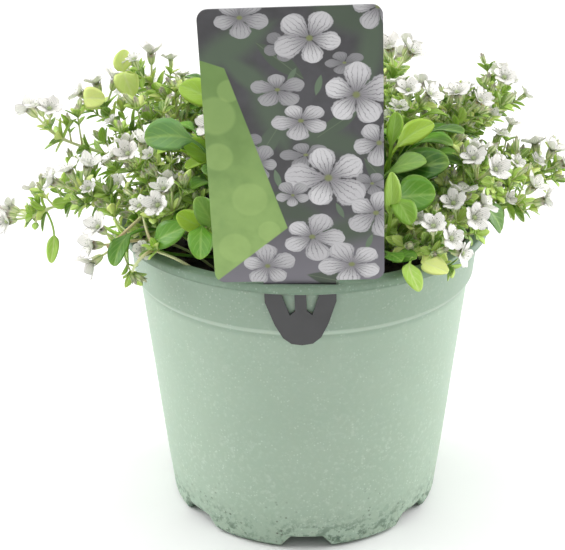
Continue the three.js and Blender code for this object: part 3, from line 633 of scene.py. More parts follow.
def lay_head(draw: Draws, station: Station, count: int) -> Head:
    """The head of a stem: side stalks on the faces of its last node, round one that carries straight on."""
    length = STALK_LENGTH + CALYX_LENGTH + SEAT_GAP
    tilt = math.asin(FLOWER_SPACING[count] / length)
    flowers = []
    for face in HEAD_FACES[count]:
        radius = FLOWER_RADIUS * (1 + draw.spread(0.06))
        if face == END_FACE:
            toward = swing(station.face_out(0), station.face_out(1), EVEN_TURN)
            way, inward, reach = station.direction, toward, length - MIDDLE_DROP
        else:
            out = station.face_out(face)
            way, inward = swing(station.direction, out, tilt), -out
            reach = length * (1 + draw.spread(0.05))
        flowers.append(lay_flower(station.point, way, inward, reach, radius))
    return Head(join([flower.beads for flower in flowers]), flowers)


def lay_shoot(draw: Draws, station: Station, face: int) -> Shoot:
    """A side shoot: a short bent twig from a face of a node, with a pair of leaves and a bud at its end."""
    out = station.face_out(face)
    lean = unit(mix(station.direction, out, 0.55) + UP * 0.15)
    length = SHOOT_LENGTH * (0.8 + 0.4 * draw.next())
    bend = station.point + lean * (SHOOT_BEND * length)
    up = unit(mix(lean, station.direction, 0.5) + UP * 0.3)
    end = bend + up * ((1 - SHOOT_BEND) * length)
    across = sideways(up, TAU * draw.next())
    node = Station(bend + up * (SHOOT_NODE * length), up, across)
    rows = [(mix(bend, end, share), radius, False) for share, radius in SHOOT_BEADS]
    rows += [(mix(station.point, bend, 0.55), SHOOT_RADIUS + 0.2, True), (bend, SHOOT_RADIUS + 0.2, True)]
    return Shoot(Beads.of(rows), bend, end, node)


def lay_basal_leaf(draw: Draws, crown: Array, facing: float, face: int) -> BasalLeaf:
    """A spoon-shaped basal leaf, from one face of the crown of its tuft."""
    azimuth = facing + TAU * face / CROWN_SIDES
    outward = polar(1.0, azimuth)
    aim = polar(1.0, azimuth + draw.spread(0.35))
    rise = 20 + 26 * draw.next()
    reach = 9 + 15 * draw.next()
    width = BLADE_WIDTH * (0.85 + 0.3 * draw.next())
    curve = [
        crown + outward * (CROWN_RADIUS - 0.6),
        crown + outward * (0.2 * reach) + UP * (0.5 * rise),
        crown + aim * (0.4 * reach) + UP * (1.06 * rise),
        crown + aim * (reach + 6) + UP * (rise * (0.8 + 0.2 * draw.next())),
    ]
    side = vec(-aim[1], aim[0], 0.0)
    rows = [(bezier(curve, t), 1.1, t < 0.3) for t in PETIOLE_BEADS]
    for t in BLADE_BEADS:
        point = bezier(curve, t)
        half = float(blade_width(t, width)) / 2
        for share in (-0.8, -0.4, 0, 0.4, 0.8):
            rows.append((point + side * (share * half), 0.22 * half + 0.6, False))
    return BasalLeaf(Beads.of(rows), curve, side, width)


def lay_tuft(crowd: Crowd, row: tuple[int, int, int], n: int) -> Tuft:
    """One tuft of basal leaves, a leaf on each face of its crown that has room for one."""
    x, y, facing = row
    draw = Draws(n + 101)

    def lay_crown(k: int) -> Crown:
        """The crown at its place, moved a little further at each try."""
        spot = vec(x + draw.spread(0.4 * k), y + draw.spread(0.4 * k), SOIL_TOP + CROWN_HEIGHT)
        return Crown(Beads.of([(spot + UP * 1.4, CROWN_RADIUS, False)]), spot)

    crown = crowd.place(f"tuft {n}", TRIES, lay_crown).point
    leaves = []
    for face in range(CROWN_SIDES):
        leaf = crowd.place(
            f"tuft {n}", TRIES, lambda k, face=face: lay_basal_leaf(draw, crown, math.radians(facing), face)
        )
        if leaf:
            leaves.append(leaf)
    return Tuft(crown, math.radians(facing), leaves)


def lay_stem(crowd: Crowd, row: tuple[int, int, int, int], n: int) -> Stem:
    """One leafy stem with its head. Its leaves follow when all the stems stand."""
    draw = Draws(n + 1)
    line = crowd.place(f"stem {n}", TRIES, lambda k: lay_stem_line(draw, row, k))
    stations = stations_of(line.curve, TAU * draw.next())
    last = stations[-1]
    last.direction = unit(mix(last.direction, UP, TIP_UPTURN))

    def try_head(k: int) -> Head:
        """The head at a new turn, with fewer flowers after every eight tries."""
        last.across = sideways(last.direction, TAU * draw.next())
        return lay_head(draw, last, max(2, row[3] - k // 8))

    head = crowd.place(f"head {n}", TRIES, try_head)
    return Stem(line, draw, stations, head.flowers)


def lay_shoots(crowd: Crowd, stem: Stem, n: int) -> None:
    """The side shoots of one stem with their leaves, on the faces of its nodes that bear no leaves."""
    stem.nodes = [Node(station) for station in stem.stations[len(LOWER_BENDS) + 1 : -1]]
    for k in SHOOT_NODES:
        node = stem.nodes[k]
        face = (k + 1) % 2
        node.shoot = crowd.place(
            f"stem {n}",
            SHOOT_TRIES,
            lambda i, node=node, face=face: lay_shoot(stem.draw, node.station, face + 2 * (i % 2)),
        )
        if node.shoot:
            node.shoot.leaves = place_pair(crowd, f"stem {n}", node.shoot.node, 0, SHOOT_LEAF_SIZE)


def lay_leaves(crowd: Crowd, stem: Stem, n: int) -> None:
    """The pairs of leaves of one stem, from its tip down."""
    for k in range(len(stem.nodes) - 1, -1, -1):
        size = 0.9 + 0.25 * stem.draw.next()
        stem.nodes[k].leaves = place_pair(crowd, f"stem {n}", stem.nodes[k].station, k % 2, size)


@dataclass
class Mound:
    """The whole mound: its tufts and stems, and the beads of all of them."""

    crowd: Crowd
    tufts: list[Tuft]
    stems: list[Stem]

    @staticmethod
    def lay() -> "Mound":
        """Lays out the mound: two tufts, the stems, the other tufts, the side shoots, and the leaves."""
        crowd = Crowd()
        outer = [lay_tuft(crowd, row, n) for n, row in enumerate(TUFTS[:EARLY_TUFTS])]
        stems = [lay_stem(crowd, row, n) for n, row in enumerate(STEMS)]
        inner = [lay_tuft(crowd, row, n + EARLY_TUFTS) for n, row in enumerate(TUFTS[EARLY_TUFTS:])]
        for n, stem in enumerate(stems):
            lay_shoots(crowd, stem, n)
        for n, stem in enumerate(stems):
            lay_leaves(crowd, stem, n)
        return Mound(crowd, outer + inner, stems)


# Surfaces.

Finishes = Sequence[bpy.types.Material]
CALYX_MOUTH = 1.35
SPOON_THICKNESS = 0.5
# A direction that no axis of the plant follows.
SKEW = np.array([0.31, 0.17, 0.93])


@dataclass
class Patch:
    """One closed surface or a batch of them: points in millimetres, faces, and what the finish reads."""

    points: Array
    quads: Array
    triangles: Array
    uv: Array
    tone: Array
    slot: int


def paired(u: Array, v: Array) -> Array:
    """Two coordinates that meet as a grid."""
    return np.stack(np.broadcast_arrays(u, v), axis=-1)


def loft(
    rings: Array, uv: Array, tone: Array, slot: int, foot: Array | None = None, tip: Array | None = None
) -> Patch:
    """Closed tubes through rings of points: each ring is joined to the next, and each end to a point.

    Args:
        rings: Points, as (tubes, rings, points round a ring, 3), counter-clockwise round the tube's way.
        uv: The two coordinates of each point, as (rings, points round a ring, 2).
        tone: One number for each tube.
        slot: The number of the piece's finish.
        foot: The point that closes each tube's first ring, or its middle when left out.
        tip: The point that closes each tube's last ring, or its middle when left out.

    Returns:
        The patch of all the tubes.
    """
    tubes, count, around, _ = rings.shape
    foot = rings[:, 0].mean(axis=1) if foot is None else foot
    tip = rings[:, -1].mean(axis=1) if tip is None else tip
    size = count * around + 2
    points = np.concatenate([rings.reshape(tubes, -1, 3), foot[:, None], tip[:, None]], axis=1)
    low, here = np.arange(count - 1)[:, None] * around, np.arange(around)
    there = (here + 1) % around
    quads = np.stack([low + here, low + there, low + around + there, low + around + here], axis=-1)
    pole, last = np.full(around, size - 2), (count - 1) * around
    caps = np.concatenate([
        np.stack([pole, there, here], axis=-1), np.stack([pole + 1, last + here, last + there], axis=-1),
    ])
    offsets = (np.arange(tubes) * size)[:, None, None]
    coordinates = np.concatenate([uv.reshape(-1, 2), [[0.5, 0.0], [0.5, 1.0]]])
    return Patch(
        points.reshape(-1, 3),
        (quads.reshape(1, -1, 4) + offsets).reshape(-1, 4),
        (caps[None] + offsets).reshape(-1, 3),
        np.tile(coordinates, (tubes, 1)),
        np.repeat(np.asarray(tone, float), size),
        slot,
    )


def round_uv(count: int, around: int) -> Array:
    """Coordinates of a tube: a saw up and down round it, so that there is no seam, and 0 to 1 along it."""
    return paired(np.abs(np.linspace(-1, 1, around, endpoint=False)), np.linspace(0, 1, count)[:, None])


def angles(around: int) -> Array:
    """The angles of the points of a ring."""
    return TAU * np.arange(around) / around


def circle(across: Array, up: Array, around: int) -> Array:
    """The directions of the points of a ring: the cosine of the angle across and its sine up."""
    angle = angles(around)[:, None]
    return across[..., None, :] * np.cos(angle) + up[..., None, :] * np.sin(angle)


def frames_of(ways: Array) -> tuple[Array, Array]:
    """Two unit directions at right angles to each of many."""
    across = unit(np.cross(ways, SKEW))
    return across, np.cross(ways, across)


def column(values: Sequence) -> Array:
    """A value or direction of each of many blades, ready to meet a grid along and across them."""
    return np.array(values, float).reshape(len(values), 1, 1, -1)


def stacked(base: Array, facing: Array, ring: Array, radius: Array, z: Array) -> Array:
    """Rings on many axes: the base, plus the ring's directions times the radius, plus the axis times z."""
    return base[:, None, None] + ring[:, None] * radius[..., None] + facing[:, None, None] * z[..., None]


class Piece:
    """One object of the scene: gathers patches and puts them into a mesh with its finishes."""

    def __init__(self, name: str, slot: str, nodes: Sequence[str], finishes: Finishes) -> None:
        """Names the piece, the record's slot, the model's nodes that it stands for, and its finishes."""
        self.name, self.slot, self.nodes, self.finishes = name, slot, nodes, finishes
        self.patches: list[Patch] = []

    def add(self, patch: Patch) -> None:
        """Adds a patch."""
        self.patches.append(patch)

    def gathered(self, part: str) -> Array:
        """One part of all the patches, end to end."""
        return np.concatenate([getattr(patch, part) for patch in self.patches])

    def faces(self, part: str, starts: Array) -> tuple[Array, Array]:
        """The quads or triangles of all the patches, and the finish of each."""
        lots = [getattr(patch, part) for patch in self.patches]
        slots = [np.full(len(lot), patch.slot) for lot, patch in zip(lots, self.patches)]
        return np.concatenate([lot + start for lot, start in zip(lots, starts)]), np.concatenate(slots)

    def build(self) -> bpy.types.Object:
        """Puts the gathered patches into one mesh, in metres, and gives it to the root body.

        Returns:
            The finished object, at the origin, unturned and unscaled.
        """
        starts = np.cumsum([0] + [len(patch.points) for patch in self.patches])
        quads, quad_slots = self.faces("quads", starts)
        triangles, slots = self.faces("triangles", starts)
        corners = np.concatenate([quads.ravel(), triangles.ravel()]).astype(np.int32)
        sizes = np.concatenate([np.full(len(quads), 4), np.full(len(triangles), 3)])
        mesh = bpy.data.meshes.new(self.name)
        mesh.vertices.add(starts[-1])
        mesh.vertices.foreach_set("co", (self.gathered("points") * MM).astype(np.float32).ravel())
        mesh.loops.add(len(corners))
        mesh.loops.foreach_set("vertex_index", corners)
        mesh.polygons.add(len(sizes))
        mesh.polygons.foreach_set("loop_start", (np.cumsum(sizes) - sizes).astype(np.int32))
        mesh.polygons.foreach_set("material_index", np.concatenate([quad_slots, slots]).astype(np.int32))
        mesh.polygons.foreach_set("use_smooth", np.ones(len(sizes), bool))
        layer = mesh.uv_layers.new(name="UVMap")
        layer.data.foreach_set("uv", self.gathered("uv")[corners].astype(np.float32).ravel())
        attribute = mesh.attributes.new("tone", "FLOAT", "POINT")
        attribute.data.foreach_set("value", self.gathered("tone").astype(np.float32))
        mesh.update(calc_edges=True)
        mesh.validate()
        for finish in self.finishes:
            mesh.materials.append(finish)
        made = bpy.data.objects.new(self.name, mesh)
        bpy.context.scene.collection.objects.link(made)
        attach(made, ROOT)
        if self.nodes:
            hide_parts(*self.nodes)
        log.info("%s: %d faces for %s", self.name, len(sizes), ", ".join(self.nodes) or "no node")
        return made


@dataclass(frozen=True)
class BladeGrid:
    """Where the points of a blade lie: round it from edge to edge and back, and along it."""

    across: tuple[float, ...]
    face: tuple[float, ...]
    along: tuple[float, ...] = ()

    def spread(self) -> tuple[Array, Array, Array]:
        """The places along, the places across and the faces, ready to meet as a grid for each blade."""
        across, face = (np.array(values)[:, None] for values in (self.across, self.face))
        return np.array(self.along)[None, :, None, None], across, face

    def uv(self) -> Array:
        """The map of a blade: across it from 0 to 1, and along it."""
        return paired((np.array(self.across) + 1) / 2, np.array(self.along)[:, None])


LEAF_GRID = BladeGrid(
    (1.0, 0.55, 0.0, -0.55, -1.0, -0.5, 0.0, 0.5), (0, 1, 1, 1, 0, -1, -1, -1),
    (0.0, 0.16, 0.36, 0.56, 0.76, 0.92),
)
TINY_GRID = BladeGrid((1.0, 0.0, -1.0, 0.0), (0, 1, 0, -1), (0.0, 0.25, 0.5, 0.75, 0.93))
PETAL_GRID = BladeGrid(
    (1.0, 0.66, 0.33, 0.0, -0.33, -0.66, -1.0, -0.5, 0.0, 0.5), (0, 1, 1, 1, 1, 1, 0, -1, -1, -1),
    (0.0, 0.12, 0.28, 0.45, 0.62, 0.78, 0.9, 0.97),
)
SPOON_GRID = BladeGrid(
    (1.0, 0.7, 0.35, 0.0, -0.35, -0.7, -1.0, -0.6, 0.0, 0.6), (0, 1, 1, 1, 1, 1, 0, -1, -1, -1)
)


@dataclass
class Blades:
    """Many small leaves at once: one row for each."""

    point: Array
    blade: Array
    side: Array
    normal: Array
    length: Array
    width: Array
    arch: Array
    fold: Array
    tone: Array

    @staticmethod
    def of(rows: Sequence[tuple]) -> "Blades":
        """Blades from rows of the fields in their order."""
        return Blades(*[np.array(values, float) for values in zip(*rows)])

    def at(self, s: Array, across: Array, rise: Array) -> Array:
        """Points at s along each leaf and some way across, raised over an arch that falls with s squared."""
        length = column(self.length)
        level = column(self.blade) * (s * length) + column(self.side) * across
        return column(self.point) + level + column(self.normal) * (rise - column(self.arch) * s * s * length)


def leaf_width(s: Array) -> Array:
    """Half the outline of a small leaf: the sine of pi times s to the power 1.2, with a clasping foot."""
    return np.power(np.clip(np.sin(math.pi * np.power(s, 1.2)), 0, 1), 0.74) + 0.24 * np.power(1 - s, 3)


def small_leaves(blades: Blades, slot: int, grid: BladeGrid = LEAF_GRID) -> Patch:
    """Small leaves as closed lenses.

    At s along and a across, a point lies at a times half the outline to the side. The faces are raised by
    the fold times the size of a and by half the thickness times 1 less a share of a squared, and the lower
    face keeps a ridge under the midrib.

    Args:
        blades: The leaves.
        slot: The number of their finish.
        grid: Where their points lie.

    Returns:
        One patch with all of them.
    """
    s, a, face = grid.spread()
    half = column(blades.width) / 2 * leaf_width(s)
    thick = 0.09 * column(blades.width) * (1 - 0.5 * s)
    ridge = np.where(a == 0, np.where(face < 0, 1.7, np.where(face > 0, 0.45, 1.0)), 1.0)
    rise = column(blades.fold) * np.abs(a) * half + face * thick * (1 - 0.6 * a * a) * ridge
    tip = blades.at(np.ones(1), np.zeros(1), np.zeros(1))[:, 0, 0]
    return loft(blades.at(s, a * half, rise), grid.uv(), blades.tone, slot, tip=tip)


def tube(path: Array, radii: Array, plane: Array, around: int, tone: float, slot: int) -> Patch:
    """A round tube along a path: rings square to it, which all start near the same direction.

    Args:
        path: The points of the path.
        radii: The radius at each of them.
        plane: The direction that they start near. The path never follows it.
        around: Points round a ring.
        tone: The number that the finish reads.
        slot: The number of the finish.

    Returns:
        The closed tube.
    """
    way = unit(np.gradient(path, axis=0))
    across = unit(plane - way * (way @ plane)[:, None])
    rings = path[:, None] + circle(across, np.cross(way, across), around) * radii[:, None, None]
    return loft(rings[None], round_uv(len(path), around), np.array([tone]), slot)


def hairs(roots: Array, ways: Array, lengths: Array, slot: int, radius: float = 0.05) -> Patch:
    """Fine hairs: each a three-sided spike, a triangle about its root that is joined to its tip.

    Args:
        roots: The root of each hair.
        ways: The unit direction of each.
        lengths: The length of each.
        slot: The number of their finish.
        radius: The radius of each at its root.

    Returns:
        One patch with all the hairs.
    """
    rings = (roots[:, None] + radius * circle(*frames_of(ways), 3))[:, None]
    return loft(rings, round_uv(1, 3), np.full(len(roots), 0.9), slot, tip=roots + ways * lengths[:, None])


def ring_hairs(rng: Rng, points: Array, ways: Array, reach: float, lean: float, slot: int) -> Patch:
    """Hairs that stand out round an axis: one at each point, at a drawn turn, leaning along the axis."""
    across, up = frames_of(ways)
    turn = TAU * rng.random(len(points))[:, None]
    out = across * np.cos(turn) + up * np.sin(turn)
    return hairs(points + out * reach, unit(out + ways * lean), 0.5 + 0.5 * rng.random(len(points)), slot)


# The plants' pieces.


class StemFinish(IntEnum):
    """The finishes of a leafy stem, in the order of its material slots."""

    STEM = 0
    LEAF = 1
    CALYX = 2
    HAIR = 3


class HeadFinish(IntEnum):
    """The finishes of a flower head."""

    PETAL = 0
    HEART = 1


def calyxes(
    base: Array, facing: Array, mouth: float, height: float, tone: Array, reach: float = 0.42
) -> Patch:
    """Five-toothed cups, each a bell that opens upwards, turned over at its rim and closed inside.

    The outside runs up a bell whose radius at each height is listed. Near the rim both gain five teeth: half
    of 1 plus the cosine of five times the angle, to the power 2.2. The inside runs back down.

    Args:
        base: The foot of each cup.
        facing: The way that each opens.
        mouth: The radius at the rim.
        height: The height of the rim between the teeth.
        tone: The number of each cup for its finish.
        reach: How far the teeth rise over the rim, as a share of its height.

    Returns:
        One patch with all the cups.
    """
    around = 20
    angle = angles(around)
    tooth = np.power(0.5 + 0.5 * np.cos(PETALS * angle), 2.2)
    rise = np.array([0.0, 0.22, 0.5, 0.78, 1.0, 0.94, 0.7, 0.4])[:, None]
    wide = np.array([0.42, 0.72, 0.9, 0.97, 1.05, 0.9, 0.8, 0.55])[:, None]
    share = np.array([0.0, 0.0, 0.0, 0.25, 1.0, 0.85, 0.2, 0.0])[:, None]
    radius = mouth * (wide + 0.16 * share * tooth) * (1 + 0.05 * np.cos(2 * PETALS * angle))
    z = height * (rise + reach * share * tooth)
    rings = stacked(base, facing, circle(*frames_of(facing), around), radius, z)
    uv = paired(np.abs(np.sin(PETALS / 2 * angle)), np.minimum(rise + 0.3 * share, 1))
    return loft(rings, uv, tone, StemFinish.CALYX)


def buds(base: Array, facing: Array, radius: float, length: float, tone: Array) -> Patch:
    """Closed petals above a cup: a twisted spindle whose radius follows a sine of the share of its length.

    Args:
        base: The foot of each bud.
        facing: Its way.
        radius: Its greatest radius.
        length: Its length.
        tone: The number of each bud for its finish.

    Returns:
        One patch with all the buds.
    """
    around = 2 * PETALS
    s = np.array([0.04, 0.2, 0.4, 0.6, 0.78, 0.92])[:, None]
    width = radius * np.power(np.sin(math.pi * (0.12 + 0.86 * s)), 0.7)
    swirl = 1 + 0.09 * np.cos(PETALS * angles(around) + 2.0 * s)
    rings = stacked(base, facing, circle(*frames_of(facing), around), width * swirl, s * length)
    return loft(rings, round_uv(len(s), around), tone, StemFinish.CALYX, tip=base + facing * length)


def small_buds(base: Array, facing: Array, size: Array, tone: Array, closed: float = 1.0) -> Patch:
    """Narrow buds: a ribbed bell with five pointed teeth, and closed petals out of its mouth.

    Each bud is one tube of ten corners. Every second corner is a rib, and at the mouth it reaches further up
    as a tooth. Above the mouth the corners draw in to the tip of the closed petals.

    Args:
        base: The foot of each bud.
        facing: Its way.
        size: Its size, about 1.
        tone: The number of each bud for its finish.
        closed: The share of the length above the mouth that is kept: less for the cup of an open flower.

    Returns:
        One patch with all the buds.
    """
    around = 2 * PETALS
    rib = 0.5 + 0.5 * np.cos(PETALS * angles(around))
    rise = np.array([0.0, 0.5, 1.6, 2.9, 2.7, 4.3])[:, None]
    wide = np.array([0.32, 0.72, 0.88, 0.86, 0.62, 0.42])[:, None]
    tooth = np.array([0.0, 0.0, 0.0, 1.3, 0.0, 0.0])[:, None] * rib
    flare = np.array([0.02, 0.1, 0.12, 0.3, 0.05, 0.02])[:, None]
    z = rise * np.where(rise > 3.0, closed, 1.0) + tooth
    scale = size[:, None, None]
    ring = circle(*frames_of(facing), around)
    rings = stacked(base, facing, ring, scale * (wide + flare * (rib - 0.4)), scale * z)
    uv = paired(1 - rib, rise / 4.3 + 0.25 * tooth)
    return loft(rings, uv, tone, StemFinish.CALYX, tip=base + facing * (size * 5.0 * closed)[:, None])


def stalk(path: Array, radii: Sequence[float], around: int, tone: float, way: Array | None = None) -> Patch:
    """A thin stalk along a path, whose radius runs evenly between two or is given at each point."""
    radii = np.linspace(*radii, len(path)) if len(radii) == 2 else radii
    across, _ = frame_of(unit(path[-1] - path[0]) if way is None else way)
    return tube(path, radii, across, around, tone, StemFinish.STEM)


@dataclass
class LeafyStem:
    """One leafy stem: the stem, its leaves and sprigs, the stalks with their cups, and its buds."""

    number: int
    stem: Stem
    growth: "Growth"
    foot_radius: float = 0.7
    tip_radius: float = 0.44
    node_swell: float = 0.3
    node_spread: float = 0.9
    points_along: int = 46
    around: int = 8
    leaf_widening: float = 1.12
    bud_setback: float = 1.4
    bare_points: int = 12
    root_depths: tuple[float, float] = (10.0, 5.0)
    cup_hairs: int = 8
    stem_hairs: int = 90
    bloom_stalk: float = 2.6

    def line(self) -> tuple[Array, Array, Array]:
        """The stem's path from its root in the soil to its last node, its radii, and a way across it."""
        points = bezier(self.stem.line.curve, np.linspace(0, 1, self.points_along))
        root = points[0] - UP * np.array(self.root_depths)[:, None]
        steps = np.concatenate([[0.0], np.cumsum(np.sqrt(np.sum(np.diff(points, axis=0) ** 2, axis=1)))])
        shares = steps / steps[-1]
        off = (shares[:, None] - np.array(STATIONS[1:])) * steps[-1] / self.node_spread
        swell = np.exp(-(off**2)).sum(axis=1)
        radii = self.foot_radius + (self.tip_radius - self.foot_radius) * shares + self.node_swell * swell
        azimuth = math.atan2(points[-1, 1] - points[0, 1], points[-1, 0] - points[0, 0])
        path = np.concatenate([root, points])
        return path, np.concatenate([np.full(2, self.foot_radius), radii]), polar(1.0, azimuth + math.pi / 2)

    def leaf_rows(self, rng: Rng) -> list[tuple]:
        """The rows of the leaves that the model has, with a tone for each."""
        nodes = self.stem.nodes
        leaves = [leaf for node in nodes for leaf in node.leaves + (node.shoot.leaves if node.shoot else [])]
        rows = []
        for leaf in leaves:
            width = self.leaf_widening * leaf.width
            row = (leaf.point, leaf.blade, leaf.side, leaf.normal, leaf.length, width, LEAF_ARCH)
            rows.append((*row, 0.16 + 0.14 * rng.random(), rng.random()))
        return rows

    def add_shoots(self, piece: Piece) -> tuple[list[Array], list[Array]]:
        """Adds the side shoots' twigs to a piece and gives the feet and ways of their buds."""
        feet, ways = [], []
        t = np.linspace(0, 1, 9)
        radii = np.linspace(0.42, 0.36, len(t)) + 0.3 * np.exp(-(((t - 0.62) / 0.06) ** 2))
        for node in self.stem.nodes:
            if node.shoot:
                start, bend, way = node.station.point, node.shoot.bend, node.shoot.node.direction
                seat = node.shoot.end - way * self.bud_setback
                corners = [start, mix(start, bend, 0.8), mix(bend, seat, 0.25), seat]
                piece.add(stalk(bezier(corners, t), radii, 6, 0.85))
                feet.append(seat)
                ways.append(way)
        return feet, ways

    def add_stalks(self, piece: Piece) -> None:
        """Adds the stalks of the head's flowers, which bend out from the last node to their cups."""
        last = self.stem.stations[-1]
        for flower in self.stem.flowers:
            foot = flower.base - flower.facing * (SEAT_GAP + CALYX_LENGTH - 0.3)
            start = last.point - last.direction * 0.4
            corners = [start, mix(last.point, foot, 0.35), mix(last.point, foot, 0.7), foot]
            piece.add(stalk(bezier(corners, np.linspace(0, 1, 7)), (0.4, 0.36), 6, 0.9, flower.facing))

    def leaf_hairs(self, rng: Rng, leaves: Blades) -> Patch:
        """Hairs on the edges of the small leaves, leaning out and towards the leaf's tip."""
        s = np.tile([0.3, 0.5, 0.68, 0.84], 2)[:, None, None]
        edge = np.repeat([-1.0, 1.0], 4)[:, None, None]
        half = 0.5 * column(leaves.width) * leaf_width(s)
        roots = leaves.at(s, edge * half, column(leaves.fold) * half).reshape(-1, 3)
        ways = unit(column(leaves.side) * edge + 0.5 * column(leaves.blade) + 0.35 * column(leaves.normal))
        return hairs(roots, ways.reshape(-1, 3), 0.4 + 0.35 * rng.random(len(roots)), StemFinish.HAIR)

    def add_hairs(
        self, rng: Rng, piece: Piece, leaves: Blades, cups: Array, ways: Array, path: Array
    ) -> None:
        """Adds the hairs of the leaves' edges, the cups and buds, and the middle of the stem."""
        piece.add(self.leaf_hairs(rng, leaves))
        rows, each = np.repeat(cups, self.cup_hairs, axis=0), np.repeat(ways, self.cup_hairs, axis=0)
        rows = rows + each * (0.4 + 2.2 * rng.random(len(rows)))[:, None]
        piece.add(ring_hairs(rng, rows, each, 0.85, 0.6, StemFinish.HAIR))
        reach = self.points_along - self.bare_points
        low = self.bare_points + (reach * rng.random(self.stem_hairs)).astype(int)
        ahead = unit(path[low + 1] - path[low])
        piece.add(ring_hairs(rng, mix(path[low], path[low + 1], 0.5), ahead, 0.45, 0.2, StemFinish.HAIR))

    def build(self, finishes: Finishes) -> bpy.types.Object:
        """Builds the stem as one piece in place of its node."""
        rng = Seed.STEM.draws(self.number)
        name = f"leafy_stem_{self.number + 1:02d}"
        piece = Piece(f"{name}_grown", "foliage", [name], finishes)
        path, radii, plane = self.line()
        growth = self.growth
        piece.add(tube(path, radii, plane, self.around, 0.2 + 0.5 * rng.random(), StemFinish.STEM))
        leaves = Blades.of(self.leaf_rows(rng) + growth.leaves)
        piece.add(small_leaves(leaves, StemFinish.LEAF))
        if growth.tiny:
            piece.add(small_leaves(Blades.of(growth.tiny), StemFinish.LEAF, TINY_GRID))
        for twig in growth.twigs:
            piece.add(stalk(twig, (0.36, 0.28), 5, 0.9))
        for leaf in growth.discs:
            piece.add(spoon_leaf(leaf, TAU * rng.random(), StemFinish.LEAF))
        self.add_stalks(piece)
        feet = [flower.base - flower.facing * (SEAT_GAP + CALYX_LENGTH) for flower in self.stem.flowers]
        ways = [flower.facing for flower in self.stem.flowers]
        piece.add(calyxes(np.array(feet), np.array(ways), CALYX_MOUTH, CALYX_LENGTH, rng.random(len(feet))))
        bud_feet, bud_ways = self.add_shoots(piece)
        if bud_feet:
            tones, foot, way = rng.random(len(bud_feet)), np.array(bud_feet), np.array(bud_ways)
            piece.add(calyxes(foot, way, 1.2, 2.7, tones, 0.6))
            piece.add(buds(foot + way * 0.8, way, 1.02, 4.1, tones))
        if growth.bud_feet:
            foot, way = np.array(growth.bud_feet), np.array(growth.bud_ways)
            piece.add(small_buds(foot, way, 0.85 + 0.3 * rng.random(len(foot)), rng.random(len(foot))))
        if growth.flowers:
            way = np.array([flower.facing for flower in growth.flowers])
            foot = np.array([flower.base for flower in growth.flowers]) - way * self.bloom_stalk
            piece.add(small_buds(foot, way, np.full(len(foot), 0.85), np.full(len(foot), 0.2), 0.55))
        for runner in growth.runners:
            piece.add(stalk(runner, (0.55, 0.42), 7, 0.45))
        cups, cup_ways = feet + bud_feet + growth.bud_feet, ways + bud_ways + growth.bud_ways
        self.add_hairs(rng, piece, leaves, np.array(cups), np.array(cup_ways), path)
        return piece.build()


